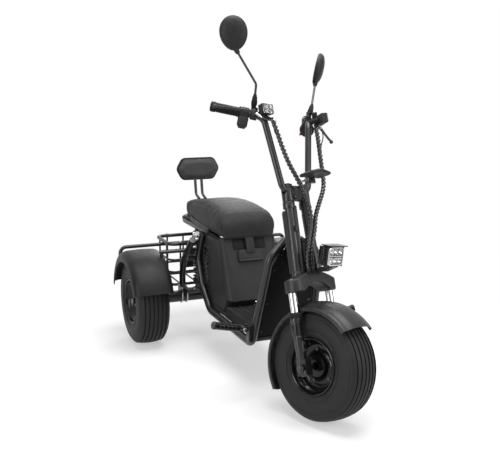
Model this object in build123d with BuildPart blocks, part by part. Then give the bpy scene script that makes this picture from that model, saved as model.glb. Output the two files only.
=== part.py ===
from build123d import *
import os
from math import cos, radians, sin

# Three-wheeled electric scooter: one steered wheel in front, two wheels behind, a step-through
# frame of two bent side rails, a long saddle over the battery box and a wire basket at the back.
# +X is forward, +Y is left and +Z is up. Sizes are millimetres and the ground is z = 0.

# Chassis pieces are drawn with x measured from the rear axle; this puts the whole on its middle.
REAR_AXLE_X = -563.4

# Wheels: fat 18 x 7 - 8 tyres on steel rims
TYRE_RADIUS = 228.0
WHEELBASE = 1246.0
HALF_TRACK = 416.0
TYRE_SECTION = [  # (radius, half width) from the bead out to the edge of the tread
    (118, 74),
    (152, 84),
    (203, 79),
    (TYRE_RADIUS, 46),
]
RIM_SECTION = [  # (radius, half width) from the lip in to the hub's end
    (117.7, 74),
    (111, 74),
    (94, 44),
    (88, 30),
    (46, 30),
    (42, 48),
    (26, 52),
]
AXLE_R = 10.0
RUNNING_GAP = 0.05

# Steering: the fork is drawn square, x forward, y left, z up its own axis, then leaned and turned
RAKE = 21.0
STEER_ANGLE = 22.0
FORK_OFFSET = 11.0
LEG_Y = 114.6
LEG_R = 21.0
LEG_TOP = 208.0
YOKE_BOTTOM = 304.0
COLUMN_R = 20.0
CLAMP_BOTTOM = 692.0
CLAMP_TOP = 764.0
BAR_Z = 738.0
BAR_R = 14.0
GRIP_LENGTH = 128.0
GRIP_R = 20.0
HEAD_BOTTOM = 408.0
HEAD_TOP = 512.0
HEAD_R = 28.0

# Frame
RAIL_Y = 155.0
RAIL_R = 18.0
SUBFRAME_Y = 200.0
SUBFRAME_R = 17.0
HOUSING_R = 31.0
FOOTBOARD_TOP = 300.0

# Seat
HINGE_X = -288.0
HINGE_Z = 604.0
HINGE_PIN_R = 5.0

SIDES = [("right", -1), ("left", 1)]

os.makedirs("parts", exist_ok=True)

camber_sin = sin(radians(RAKE)) * sin(radians(STEER_ANGLE))
camber_cos = (1 - camber_sin**2) ** 0.5
wheel_drop = max(r * camber_cos + half * camber_sin for r, half in TYRE_SECTION)
wheel_rise = FORK_OFFSET * sin(radians(RAKE)) * cos(radians(STEER_ANGLE))
FORK_BASE = (WHEELBASE - FORK_OFFSET * cos(radians(RAKE)), 0, wheel_drop - wheel_rise)
HEAD_AXIS = (-sin(radians(RAKE)), 0, cos(radians(RAKE)))

CHASSIS = Location((REAR_AXLE_X, 0, 0))
STRAIGHT_FORK = Plane(FORK_BASE, x_dir=(cos(radians(RAKE)), 0, sin(radians(RAKE))), z_dir=HEAD_AXIS)
FORK = CHASSIS * STRAIGHT_FORK.location * Location((0, 0, 0), (0, 0, STEER_ANGLE))


def write(piece, name, place):
    """Set a finished piece in the vehicle's frame, label it and write its file."""
    solid = piece.part.moved(place)
    solid.label = name
    export_step(solid, f"parts/{name}.step")


def tube(points, radius, bends):
    """A round bar along points, its corners bent to the radii in bends."""
    with BuildPart() as bar:
        with BuildLine() as path:
            if len(points) == 2:
                Line(*points)
            else:
                FilletPolyline(*points, radius=bends)
        with BuildSketch(path.line ^ 0):
            Circle(radius)
        sweep(path=path.line)
    return bar.part


def rod(start, end, radius, bore=0.0):
    """A straight round bar from start to end, with a bore along it where one is given."""
    line = Vector(*end) - Vector(*start)
    with BuildPart() as bar:
        with BuildSketch(Plane(start, z_dir=line)):
            Circle(radius)
            if bore:
                Circle(bore, mode=Mode.SUBTRACT)
        extrude(amount=line.length)
    return bar.part


def slab(low, high):
    """A square block between two opposite corners."""
    middle = (Vector(*low) + Vector(*high)) / 2
    size = Vector(*high) - Vector(*low)
    with BuildPart(Plane(middle)) as block:
        Box(abs(size.X), abs(size.Y), abs(size.Z))
    return block.part


def spun(section, centre, arc=360.0):
    """A solid of revolution about the wheel line through centre; section holds (radius, y)."""
    with BuildPart() as turned:
        with BuildSketch(Plane(centre)):
            with BuildLine():
                Polyline(*section, close=True)
            make_face()
        revolve(axis=Axis(centre, (0, 1, 0)), revolution_arc=arc)
    return turned.part


def mirrored(section):
    """A half section with its mirror image on the other side of the wheel's middle."""
    return section + [(r, -half) for r, half in reversed(section)]


# Wheels
wheels = [("front_wheel", (FORK_OFFSET, 0, 0), FORK)]
for side, sign in SIDES:
    wheels.append((f"rear_wheel_{side}", (0, sign * HALF_TRACK, TYRE_RADIUS), CHASSIS))

for name, centre, place in wheels:
    with BuildPart() as tyre:
        add(spun(mirrored(TYRE_SECTION), centre))
    write(tyre, f"{name}_tyre", place)

    with BuildPart() as rim:
        hub = RIM_SECTION + [(AXLE_R + RUNNING_GAP, RIM_SECTION[-1][1])]
        add(spun(mirrored(hub), centre))
    write(rim, f"{name}_rim", place)

# Front axle, its lugs and the fork legs that slide on the stanchions
with BuildPart() as front_axle:
    add(rod((FORK_OFFSET, -LEG_Y - 28, 0), (FORK_OFFSET, LEG_Y + 28, 0), AXLE_R))
    for sign in (-1, 1):
        add(rod((FORK_OFFSET, sign * (LEG_Y + 22), 0), (FORK_OFFSET, sign * (LEG_Y + 34), 0), 16))
write(front_axle, "front_axle", FORK)

LUG_HALF = 18.0
with BuildPart() as fork_legs:
    for sign in (-1, 1):
        y = sign * LEG_Y
        add(rod((0, y, -12), (0, y, LEG_TOP), LEG_R))
        add(rod((0, y, LEG_TOP - 22), (0, y, LEG_TOP), LEG_R + 4))
        add(slab((-18, y - LUG_HALF, -30), (FORK_OFFSET + 22, y + LUG_HALF, 34)))
        add(rod((FORK_OFFSET, y - 24, 0), (FORK_OFFSET, y + 24, 0), AXLE_R + RUNNING_GAP), mode=Mode.SUBTRACT)
write(fork_legs, "fork_legs", FORK)

with BuildPart() as stanchions:
    for sign in (-1, 1):
        add(rod((0, sign * LEG_Y, LEG_TOP), (0, sign * LEG_Y, YOKE_BOTTOM), 16.5))
write(stanchions, "stanchions", FORK)

# Yoke: an arched block over the wheel that carries the stanchions
YOKE_HALF = 137.0
YOKE_BACK = -38.0
YOKE_FRONT = 44.0
with BuildPart() as yoke:
    with BuildSketch(Plane((YOKE_FRONT, 0, 0), x_dir=(0, 1, 0), z_dir=(1, 0, 0))):
        with BuildLine():
            Polyline((-80, YOKE_BOTTOM), (-YOKE_HALF, YOKE_BOTTOM), (-YOKE_HALF, YOKE_BOTTOM + 50))
            Line((-YOKE_HALF, YOKE_BOTTOM + 50), (-104, YOKE_BOTTOM + 58))
            ThreePointArc((-104, YOKE_BOTTOM + 58), (0, YOKE_BOTTOM + 84), (104, YOKE_BOTTOM + 58))
            Line((104, YOKE_BOTTOM + 58), (YOKE_HALF, YOKE_BOTTOM + 50))
            Polyline((YOKE_HALF, YOKE_BOTTOM + 50), (YOKE_HALF, YOKE_BOTTOM), (80, YOKE_BOTTOM))
            ThreePointArc((80, YOKE_BOTTOM), (0, YOKE_BOTTOM + 36), (-80, YOKE_BOTTOM))
        make_face()
    extrude(amount=YOKE_BACK - YOKE_FRONT)
    fillet(yoke.edges().filter_by(Axis.Z), 24)
write(yoke, "yoke", FORK)

# Twin columns rise from the yoke past the head tube to the upper clamp
COLUMN_FOOT = (-5, 60, YOKE_BOTTOM + 66)
COLUMN_HEAD = (-5, 50, CLAMP_BOTTOM)
with BuildPart() as fork_columns:
    for sign in (-1, 1):
        foot = (COLUMN_FOOT[0], sign * COLUMN_FOOT[1], COLUMN_FOOT[2])
        head = (COLUMN_HEAD[0], sign * COLUMN_HEAD[1], COLUMN_HEAD[2])
        add(rod(foot, head, COLUMN_R))
write(fork_columns, "fork_columns", FORK)

# Stem inside the head tube: the pin that the fork turns on
with BuildPart() as steering_stem:
    add(rod((0, 0, YOKE_BOTTOM + 78), (0, 0, HEAD_TOP + 18), 14))
    add(rod((0, 0, HEAD_TOP + 6), (0, 0, HEAD_TOP + 18), 24))
    add(rod((0, 0, YOKE_BOTTOM + 78), (0, 0, HEAD_BOTTOM - 6), 24))
write(steering_stem, "steering_stem", FORK)

with BuildPart() as upper_clamp:
    for sign in (-1, 1):
        add(rod((-4, sign * 50, CLAMP_BOTTOM), (-4, sign * 50, CLAMP_TOP), 25))
    add(slab((-22, -50, CLAMP_BOTTOM + 6), (14, 50, CLAMP_TOP - 6)))
    add(rod((0, -76, BAR_Z), (0, 76, BAR_Z), BAR_R + RUNNING_GAP), mode=Mode.SUBTRACT)
write(upper_clamp, "upper_clamp", FORK)

# Handlebar: a tall bent tube; the grip runs on from each end
BAR_CORNER = (0, 78, BAR_Z)
BAR_TOP = (8, 140, 1050)
BAR_END = (-136, 300, 1128)
BAR_BENDS = [46, 40]


def on_side(point, sign):
    """The point of the left half carried to the side that sign names."""
    return (point[0], sign * point[1], point[2])


def along_bar(distance, sign, forward=0.0, up=0.0):
    """A point on the grip's line, measured out from the bend, and off it where asked."""
    line = (Vector(*BAR_END) - Vector(*BAR_TOP)).normalized()
    ahead = line.cross(Vector(0, 0, 1)).normalized()
    above = ahead.cross(line)
    point = Vector(*BAR_TOP) + line * distance + ahead * forward + above * up
    return on_side((point.X, point.Y, point.Z), sign)


GRIP_END = (Vector(*BAR_END) - Vector(*BAR_TOP)).length
GRIP_START = GRIP_END - GRIP_LENGTH
with BuildPart() as handlebar:
    half = [along_bar(GRIP_START, 1), BAR_TOP, BAR_CORNER]
    route = [on_side(point, -1) for point in half] + half[::-1]
    add(tube(route, BAR_R, BAR_BENDS + BAR_BENDS[::-1]))
write(handlebar, "handlebar", FORK)

with BuildPart() as grips:
    for side, sign in SIDES:
        add(rod(along_bar(GRIP_START, sign), along_bar(GRIP_END, sign), GRIP_R))
write(grips, "grips", FORK)

# Switch housings and the perches of the brake levers, each a split ring round the bar
with BuildPart() as bar_controls:
    for side, sign in SIDES:
        add(rod(along_bar(66, sign), along_bar(98, sign), 25))
        add(rod(along_bar(82, sign, 0, -18), along_bar(86, sign, 0, -60), 17))
        add(rod(along_bar(30, sign), along_bar(56, sign), 20))
        add(rod(along_bar(43, sign), along_bar(43, sign, 36), 11))
        add(rod(along_bar(20, sign), along_bar(100, sign), BAR_R + RUNNING_GAP), mode=Mode.SUBTRACT)
write(bar_controls, "bar_controls", FORK)

LEVERS = [  # (side, drop of the root, drop of the elbow; reach, lead and drop of the tip)
    (-1, 0, -4, 212, 52, -12),
    (1, -14, -50, 140, 98, -114),
]
with BuildPart() as brake_levers:
    for sign, root_drop, elbow_drop, reach, lead, tip_drop in LEVERS:
        root = along_bar(43, sign, 42, root_drop)
        elbow = along_bar(70, sign, 60, elbow_drop)
        tip = along_bar(reach, sign, lead, tip_drop)
        add(tube([root, elbow, tip], 6, 14))
        with Locations(tip):
            Sphere(9)
write(brake_levers, "brake_levers", FORK)

# Mirrors: round-topped heads on bent stalks, turned out to each side
MIRRORS = [  # (side, foot, bend and top of the stalk, middle of the head)
    (-1, (-14, -172, 1082), (38, -186, 1180), (19, -259, 1333), (30, -268, 1394)),
    (1, (-14, 172, 1082), (0, 190, 1136), (-11, 259, 1269), (0, 268, 1330)),
]
MIRROR_TURN = 40.0
MIRROR_TILT = 22.0
MIRROR_HALF_WIDTH = 58.0
MIRROR_HALF_HEIGHT = 72.0
MIRROR_LIP = 9.0
MIRROR_DEPTH = 32.0


def mirror_plane(sign, middle, back=0.0):
    """The plane of a mirror's face, looking ahead and out to its side, set back where asked."""
    turn = radians(sign * MIRROR_TURN)
    tilt = radians(MIRROR_TILT)
    ahead = (cos(turn) * cos(tilt), sin(turn) * cos(tilt), -sin(tilt))
    return Plane(middle, x_dir=(-sin(turn), cos(turn), 0), z_dir=ahead).offset(back)


with BuildPart() as mirror_stalks:
    for sign, foot, bend, top, middle in MIRRORS:
        add(tube([foot, bend, top], 5, 24))
        add(rod(foot, (foot[0] + 5, foot[1], foot[2] + 30), 9))
write(mirror_stalks, "mirror_stalks", FORK)

with BuildPart() as mirror_shells:
    for sign, foot, bend, top, middle in MIRRORS:
        for back, depth, first, last in ((0, MIRROR_LIP, 1.0, 1.0), (MIRROR_LIP, MIRROR_DEPTH, 1.0, 0.5)):
            with BuildSketch(mirror_plane(sign, middle, back)):
                Ellipse(MIRROR_HALF_WIDTH * first, MIRROR_HALF_HEIGHT * first)
            with BuildSketch(mirror_plane(sign, middle, depth)):
                Ellipse(MIRROR_HALF_WIDTH * last, MIRROR_HALF_HEIGHT * last)
            loft(ruled=True)
write(mirror_shells, "mirror_shells", FORK)

with BuildPart() as mirror_glass:
    for sign, foot, bend, top, middle in MIRRORS:
        with BuildSketch(mirror_plane(sign, middle, 0)):
            Ellipse(MIRROR_HALF_WIDTH - 3, MIRROR_HALF_HEIGHT - 3)
        extrude(amount=-2)
write(mirror_glass, "mirror_glass", FORK)

# Turn lamps by the bar's bends: a dark body behind a clear lens, the left one facing out
TURN_LAMPS = [(-1, 26, 154, 1072, 0), (1, 58, 156, 1056, 70)]  # (side, x, y and z of its back, turn)
LAMP_HALF = (30.0, 21.0)
LAMP_BODY = 18.0
LAMP_DEPTH = 32.0


def lamp_box(back, turn, near, far, trim):
    """A block of a turn lamp from near to far ahead of its back, its sides drawn in by trim."""
    ahead = Vector(cos(radians(turn)), sin(radians(turn)), 0)
    middle = Vector(*back) + ahead * ((near + far) / 2)
    with BuildPart(Plane(middle, x_dir=ahead, z_dir=(0, 0, 1))) as box:
        Box(far - near, 2 * (LAMP_HALF[0] - trim), 2 * (LAMP_HALF[1] - trim))
    return box.part


with BuildPart() as turn_lamp_bodies:
    for sign, x, y, z, turn in TURN_LAMPS:
        add(lamp_box((x, sign * y, z), turn, 0, LAMP_BODY, 0))
        add(rod((2, sign * 146, z), (x + 2, sign * y, z), 8))
        add(rod(along_bar(-30, sign), along_bar(60, sign), BAR_R + RUNNING_GAP), mode=Mode.SUBTRACT)
write(turn_lamp_bodies, "turn_lamp_bodies", FORK)

with BuildPart() as turn_lamp_lenses:
    for sign, x, y, z, turn in TURN_LAMPS:
        add(lamp_box((x, sign * y, z), turn, LAMP_BODY, LAMP_DEPTH, 1))
write(turn_lamp_lenses, "turn_lamp_lenses", FORK)

# Display: a flat box held out in front of the bar
with BuildPart() as display:
    add(slab((68, -42, 776), (162, 58, 798)))
    fillet(display.edges().filter_by(Axis.Z), 14)
    add(rod((92, 8, 752), (92, 8, 776), 13))
write(display, "display", FORK)

with BuildPart() as display_bracket:
    add(slab((26, 6, 772), (76, 24, 776)))
    add(slab((22, 6, 728), (26, 24, 776)))
    add(slab((14, 6, 728), (22, 24, 746)))
write(display_bracket, "display_bracket", FORK)

# Headlamp: a square lamp with cooling fins behind and a visor on top, on a stepped bracket
HEADLAMP_X = 118.0
HEADLAMP_Z = 432.0
HEADLAMP_TILT = Location((122, 0, 392), (0, RAKE, 0)) * Location((-132, 0, -386))  # level with the road
with BuildPart() as headlamp_housing:
    add(slab((HEADLAMP_X, -49, HEADLAMP_Z - 42), (HEADLAMP_X + 34, 49, HEADLAMP_Z + 42)))
    add(slab((HEADLAMP_X - 4, -52, HEADLAMP_Z + 42), (HEADLAMP_X + 58, 52, HEADLAMP_Z + 46)))
    for fin in range(7):
        y = -42 + 14 * fin
        add(slab((HEADLAMP_X - 14, y - 2.5, HEADLAMP_Z - 38), (HEADLAMP_X, y + 2.5, HEADLAMP_Z + 38)))
write(headlamp_housing, "headlamp_housing", FORK * HEADLAMP_TILT)

with BuildPart() as headlamp_lens:
    add(slab((HEADLAMP_X + 34, -47, HEADLAMP_Z - 41), (HEADLAMP_X + 44, 47, HEADLAMP_Z + 41)))
write(headlamp_lens, "headlamp_lens", FORK * HEADLAMP_TILT)

with BuildPart() as headlamp_bracket:
    with BuildSketch(Plane((0, -5, 0), x_dir=(1, 0, 0), z_dir=(0, -1, 0))):
        Polygon((38, 384), (38, 391), (68, 397), (126, 397), (140, 393), (140, 385), (84, 376), align=None)
    extrude(amount=-38)
write(headlamp_bracket, "headlamp_bracket", FORK)

# Front fender: a crowned arch between the fork legs, on stays to the legs
FRONT_FENDER = [  # (radius, half width) of the outer skin from the skirt's edge to the crown
    (226, 90),
    (247, 86),
    (259, 64),
]
SKIN = 4.0


def fender(outer, centre, first, last):
    """A fender's skin about a wheel: the outer section with its inner copy, swept from first to last."""
    inner = [(r - SKIN, half - SKIN) for r, half in outer]
    ring = mirrored(outer)[::-1] + mirrored(inner)
    with BuildPart() as skin:
        with BuildSketch(Plane(centre, x_dir=(cos(radians(first)), 0, sin(radians(first))),
                               z_dir=(sin(radians(first)), 0, -cos(radians(first))))):
            with BuildLine():
                Polyline(*ring, close=True)
            make_face()
        revolve(axis=Axis(centre, (0, -1, 0)), revolution_arc=last - first)
    return skin.part


with BuildPart() as front_fender:
    add(fender(FRONT_FENDER, (FORK_OFFSET, 0, 0), 30, 198))
    for sign in (-1, 1):
        add(slab((-14, sign * 88, 190), (14, sign * 93, 240)))
write(front_fender, "front_fender", FORK)

# Cable looms: two spiral-wrapped bundles from the bar's controls to the yoke (fork frame)
LOOM_R = 8.0
LOOM_ROUTES = [
    ("loom_right", [
        (38, -117, 1024), (44, -110, 984), (47, -97, 920), (51, -74, 842), (55, -46, 788), (56, -25, 748),
        (56, -11, 711), (55, 3, 676), (54, 11, 645), (53, 13, 612), (51, 7, 577), (49, -6, 540),
        (47, -20, 503), (45, -33, 467), (44, -40, 432), (43, -42, 396),
    ]),
    ("loom_left", [
        (40, 150, 1020), (44, 148, 984), (46, 143, 930), (47, 139, 850), (48, 137, 780), (50, 124, 740),
        (52, 100, 706), (54, 74, 671), (55, 51, 638), (54, 36, 606), (53, 27, 571), (52, 13, 535),
        (50, -2, 500), (48, -13, 467), (46, -19, 432), (45, -19, 392),
    ]),
]


def bend_radii(route):
    """The largest radius that each corner's two runs leave room for."""
    radii = []
    for before, corner, after in zip(route, route[1:], route[2:]):
        first = Vector(*corner) - Vector(*before)
        second = Vector(*after) - Vector(*corner)
        half_turn = radians(first.get_angle(second) / 2)
        radii.append(0.45 * min(first.length, second.length) * cos(half_turn) / sin(half_turn))
    return radii


for name, route in LOOM_ROUTES:
    radii = bend_radii(route)
    with BuildPart() as loom:
        add(tube(route, LOOM_R, radii))
    length = loom.part.volume / (3.14159265 * LOOM_R**2)
    print(name, "length", round(length), "bend radii", [round(r) for r in radii])
    write(loom, name, FORK)

with BuildPart() as loom_glands:
    for name, route in LOOM_ROUTES:
        end = route[-1]
        add(rod((end[0], end[1], YOKE_BOTTOM + 74), (end[0], end[1], end[2] + 2), 10))
        start = route[0]
        add(rod(start, (start[0] - 4, start[1], start[2] + 18), 6))
write(loom_glands, "loom_glands", FORK)

# Main frame: two bent side rails, cross tubes, and the neck that carries the head tube
RAIL_ROUTE = [  # (x, y, z, bend) of one rail from the seat, round the box and up to the neck
    (203, RAIL_Y, 606, 0),
    (130, RAIL_Y, 472, 85),
    (200, RAIL_Y, 322, 85),
    (312, RAIL_Y, 226, 85),
    (846, 150, 216, 48),
    (968, 118, 632, 50),
    (942, 34, 700, 0),
]
CROSS_TUBES = [(190, 592), (330, 222), (560, 219), (790, 216)]  # (x, z)
NECK_HALF = 17.0


def on_axis(height, back=0.0):
    """A point on the steering axis, in the chassis frame, and behind it where asked."""
    x = FORK_BASE[0] + height * HEAD_AXIS[0] - back * HEAD_AXIS[2]
    z = FORK_BASE[2] + height * HEAD_AXIS[2] + back * HEAD_AXIS[0]
    return (x, 0, z)


with BuildPart() as main_frame:
    for side, sign in SIDES:
        route = [(x, sign * y, z) for x, y, z, bend in RAIL_ROUTE]
        add(tube(route, RAIL_R, [bend for x, y, z, bend in RAIL_ROUTE[1:-1]]))
    for x, z in CROSS_TUBES:
        add(rod((x, -RAIL_Y, z), (x, RAIL_Y, z), 13))
    with BuildSketch(Plane((0, -NECK_HALF, 0), x_dir=(1, 0, 0), z_dir=(0, -1, 0))):
        neck = [on_axis(HEAD_BOTTOM + 8), on_axis(HEAD_TOP - 8), (928, 0, 712), (938, 0, 590)]
        Polygon(*[(x, z) for x, y, z in neck], align=None)
    extrude(amount=-2 * NECK_HALF)
    add(rod((938, -88, 650), (938, 88, 650), 12))
    add(rod(on_axis(HEAD_BOTTOM), on_axis(HEAD_TOP), HEAD_R))
    add(rod(on_axis(HEAD_BOTTOM - 1), on_axis(HEAD_TOP + 1), 14 + RUNNING_GAP), mode=Mode.SUBTRACT)
write(main_frame, "main_frame", CHASSIS)

# Leg shield: a plate between the rising front rails, and the neck's plate above it
SHIELD_FOOT = (852, 0, 250)
SHIELD_UP = (122, 0, 416)
SHIELD_OUTLINE = [  # (y, up)
    (-126, 0), (126, 0), (101, 352), (86, 388), (79, 404), (-79, 404), (-86, 388), (-101, 352),
]
NECK_PLATE_FOOT = (967, 0, 634)
NECK_PLATE_UP = (-26, 0, 68)
NECK_PLATE = [(-79, 0), (79, 0), (74, 6), (32, 42), (-32, 42), (-74, 6)]  # (y, up)
shield_ahead = Vector(0, 1, 0).cross(Vector(*SHIELD_UP))
neck_ahead = Vector(0, 1, 0).cross(Vector(*NECK_PLATE_UP))
with BuildPart() as leg_shield:
    with BuildSketch(Plane(SHIELD_FOOT, x_dir=(0, 1, 0), z_dir=shield_ahead)):
        Polygon(*SHIELD_OUTLINE, align=None)
    extrude(amount=4, both=True)
    with BuildSketch(Plane(NECK_PLATE_FOOT, x_dir=(0, 1, 0), z_dir=neck_ahead)):
        Polygon(*NECK_PLATE, align=None)
    extrude(amount=4, both=True)
write(leg_shield, "leg_shield", CHASSIS)

# Footboard: a shallow tray on the lower rails with ribs along it
with BuildPart() as footboard:
    add(slab((520, -150, 244), (814, 150, FOOTBOARD_TOP)))
    add(slab((524, -146, 243), (810, 146, FOOTBOARD_TOP - 4)), mode=Mode.SUBTRACT)
    for rib in range(9):
        y = -120 + 30 * rib
        add(slab((532, y - 5, FOOTBOARD_TOP), (804, y + 5, FOOTBOARD_TOP + 3)))
write(footboard, "footboard", CHASSIS)

# Folding foot pegs on clevis brackets beside the front rails
PEG_PIVOT = (866, 200, 300)
PEG_END = (884, 350, 338)
with BuildPart() as peg_brackets:
    for side, sign in SIDES:
        x, y, z = on_side(PEG_PIVOT, sign)
        for ear in (-12, 12):
            add(slab((x + ear - 3, y, z - 12), (x + ear + 3, sign * 174, z + 12)))
            add(rod((x + ear - 3, y, z), (x + ear + 3, y, z), 12))
        add(rod((x - 18, y, z), (x + 18, y, z), 5))
        add(slab((x - 22, sign * 156, z - 16), (x + 22, sign * 180, z + 16)))
write(peg_brackets, "peg_brackets", CHASSIS)

for side, sign in SIDES:
    x, y, z = on_side(PEG_PIVOT, sign)
    tip = Vector(*on_side(PEG_END, sign))
    reach = (tip - Vector(x, y, z)).normalized()
    root = Vector(x, y, z) + reach * 20
    with BuildPart() as peg:
        add(rod((x - 7, y, z), (x + 7, y, z), 11))
        add(rod((x, y, z), tuple(root), 7))
        add(rod(tuple(root), tuple(tip), 16))
        add(rod((x - 9, y, z), (x + 9, y, z), 5 + RUNNING_GAP), mode=Mode.SUBTRACT)
    write(peg, f"peg_{side}", CHASSIS)

# Battery box: a sloping front panel, two side panels and the battery inside
PANEL_FOOT = (556, 0, 330)
PANEL_TOP = (432, 0, 620)
panel_up = Vector(*PANEL_TOP) - Vector(*PANEL_FOOT)
PANEL = Plane(PANEL_FOOT, x_dir=(0, 1, 0), z_dir=Vector(0, 1, 0).cross(panel_up))
with BuildPart() as front_panel:
    with BuildSketch(PANEL):
        Polygon((-112, 0), (112, 0), (142, panel_up.length), (-142, panel_up.length), align=None)
    extrude(amount=-14)
write(front_panel, "front_panel", CHASSIS)

with BuildPart() as seat_catch:
    with BuildSketch(PANEL):
        with Locations((0, panel_up.length * 0.70)):
            RectangleRounded(134, 60, 10)
    extrude(amount=10)
    with BuildSketch(PANEL.offset(10)):
        with Locations((0, panel_up.length * 0.70)):
            RectangleRounded(112, 40, 6)
    extrude(amount=-7, mode=Mode.SUBTRACT)
write(seat_catch, "seat_catch", CHASSIS)

SIDE_PANEL = [(236, 610), (170, 474), (230, 342), (334, 258), (496, 262), (532, 330), (412, 612)]  # (x, z)
LOUVRES = 5
for side, sign in SIDES:
    with BuildPart() as side_panel:
        with BuildSketch(Plane((0, sign * 114, 0), x_dir=(1, 0, 0), z_dir=(0, sign, 0))):
            Polygon(*[(x, sign * -z) for x, z in SIDE_PANEL], align=None)
        extrude(amount=34, taper=18)
        for louvre in range(LOUVRES):
            z = 400 + 34 * louvre
            x = 236 - 8 * abs(louvre - 2)
            add(slab((x, sign * 140, z), (x + 66, sign * 150, z + 9)), mode=Mode.SUBTRACT)
    write(side_panel, f"side_panel_{side}", CHASSIS)

with BuildPart() as battery:
    add(slab((246, -104, 250), (412, 104, 580)))
write(battery, "battery", CHASSIS)

# Rear subframe: two bent tubes that carry the axle, with the shock mounts and fender stays
SUBFRAME_ROUTE = [  # (x, y, z, bend) of one tube from the seat rail down to the axle and inwards
    (176, SUBFRAME_Y, 570, 0),
    (28, SUBFRAME_Y, 440, 70),
    (-8, SUBFRAME_Y, 352, 40),
    (-8, SUBFRAME_Y, 286, 26),
    (46, SUBFRAME_Y - 4, 264, 24),
    (62, 112, 272, 0),
]
SUBFRAME_TIE = (163, 557)  # (x, z) of the stub that joins it to the rail
LINK_Y = 118.0  # of the rods that tie it forward to the frame's lower cross tube
with BuildPart() as rear_subframe:
    for side, sign in SIDES:
        y = sign * SUBFRAME_Y
        route = [(x, sign * side_y, z) for x, side_y, z, bend in SUBFRAME_ROUTE]
        add(tube(route, SUBFRAME_R, [bend for x, side_y, z, bend in SUBFRAME_ROUTE[1:-1]]))
        x, z = SUBFRAME_TIE
        add(rod((x, sign * 160, z), (x, y + sign * 6, z), 11))
        add(rod((62, sign * LINK_Y, 271), (326, sign * LINK_Y, 223), 11))
        add(rod((92, y - sign * 6, 498), (92, sign * 352, 498), 9))
        add(rod((92, sign * 344, 474), (92, sign * 344, 499), 8))
        add(slab((-24, y - 20, 256), (44, y + 20, 276)))
    add(rod((40, -SUBFRAME_Y - 6, 452), (40, SUBFRAME_Y + 6, 452), 11))
    add(rod((92, -SUBFRAME_Y, 498), (92, SUBFRAME_Y, 498), 10))
write(rear_subframe, "rear_subframe", CHASSIS)

# Rear axle: a housing with the drive's bulge in the middle, and the stub axles in the wheels
DRIVE_R = 64.0
with BuildPart() as axle_housing:
    add(rod((0, -322, TYRE_RADIUS), (0, 322, TYRE_RADIUS), HOUSING_R))
    add(rod((0, -66, TYRE_RADIUS), (0, 66, TYRE_RADIUS), DRIVE_R))
    add(rod((0, 60, TYRE_RADIUS), (0, 150, TYRE_RADIUS), 58))
    for sign in (-1, 1):
        add(rod((0, sign * 300, TYRE_RADIUS), (0, sign * 326, TYRE_RADIUS), 52))
        add(rod((0, sign * 326, TYRE_RADIUS), (0, sign * 478, TYRE_RADIUS), AXLE_R))
        add(rod((0, sign * 470, TYRE_RADIUS), (0, sign * 482, TYRE_RADIUS), 15))
write(axle_housing, "axle_housing", CHASSIS)

# Shocks: a damper with its coil, as stacked rings
SHOCK_TOP = (93, 504)
SHOCK_FOOT = (74, 284)
SHOCK_Y = 142.0
COILS = 9
for side, sign in SIDES:
    y = sign * SHOCK_Y
    foot = Vector(SHOCK_FOOT[0], y, SHOCK_FOOT[1])
    line = Vector(SHOCK_TOP[0], y, SHOCK_TOP[1]) - foot
    with BuildPart() as shock:
        add(rod(tuple(foot), tuple(foot + line), 12))
        for coil in range(COILS):
            start = foot + line * (0.16 + 0.075 * coil)
            add(rod(tuple(start), tuple(start + line.normalized() * 9), 26))
    write(shock, f"shock_{side}", CHASSIS)

# Basket: bent loops of round bar joined by uprights, with a floor of bars
BASKET_BACK = -316.0
BASKET_FRONT = -70.0
BASKET_HALF = 250.0
LOOPS = [(500, 10), (412, 6), (344, 6), (274, 8)]  # (z, bar radius)
with BuildPart() as basket:
    for z, r in LOOPS:
        for sign in (-1, 1):
            half_loop = [
                (BASKET_FRONT, 0, z), (BASKET_FRONT, sign * BASKET_HALF, z),
                (BASKET_BACK, sign * BASKET_HALF, z), (BASKET_BACK, 0, z),
            ]
            add(tube(half_loop, r, 40))
    for x in (BASKET_BACK, BASKET_FRONT):
        for step in range(5):
            y = -190 + 95 * step
            add(rod((x, y, 270), (x, y, 500), 5))
    for sign in (-1, 1):
        for x in (-260, -125):
            add(rod((x, sign * BASKET_HALF, 270), (x, sign * BASKET_HALF, 500), 5))
        add(rod((BASKET_FRONT, sign * 190, 412), (20, sign * 190, 432), 8))
    for step in range(5):
        y = -190 + 95 * step
        add(rod((BASKET_BACK, y, 274), (BASKET_FRONT, y, 274), 5))
write(basket, "basket", CHASSIS)

# Fenders over the rear wheels and the hoop that steadies them
REAR_FENDER = [  # (radius, half width) of the outer skin
    (214, 105),
    (252, 100),
    (269, 76),
]
FENDER_SHIFT = 8.0  # set out from the wheel's middle
for side, sign in SIDES:
    with BuildPart() as rear_fender:
        add(fender(REAR_FENDER, (0, sign * (HALF_TRACK + FENDER_SHIFT), TYRE_RADIUS), 20, 168))
    write(rear_fender, f"rear_fender_{side}", CHASSIS)

HOOP_X = -203.0
HOOP_Z = 478.0
HOOP_END = 492.0
with BuildPart() as fender_hoop:
    add(tube([
        (HOOP_X, -HOOP_END, 404), (HOOP_X, -HOOP_END, HOOP_Z),
        (HOOP_X, HOOP_END, HOOP_Z), (HOOP_X, HOOP_END, 404),
    ], 10, 34))
write(fender_hoop, "fender_hoop", CHASSIS)

# Tail lamp and the number-plate bracket on the basket's back
PLATE_X = BASKET_BACK - 12
with BuildPart() as tail_lamp:
    add(slab((BASKET_BACK - 32, -70, 424), (BASKET_BACK - 6, 70, 458)))
write(tail_lamp, "tail_lamp", CHASSIS)

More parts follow.
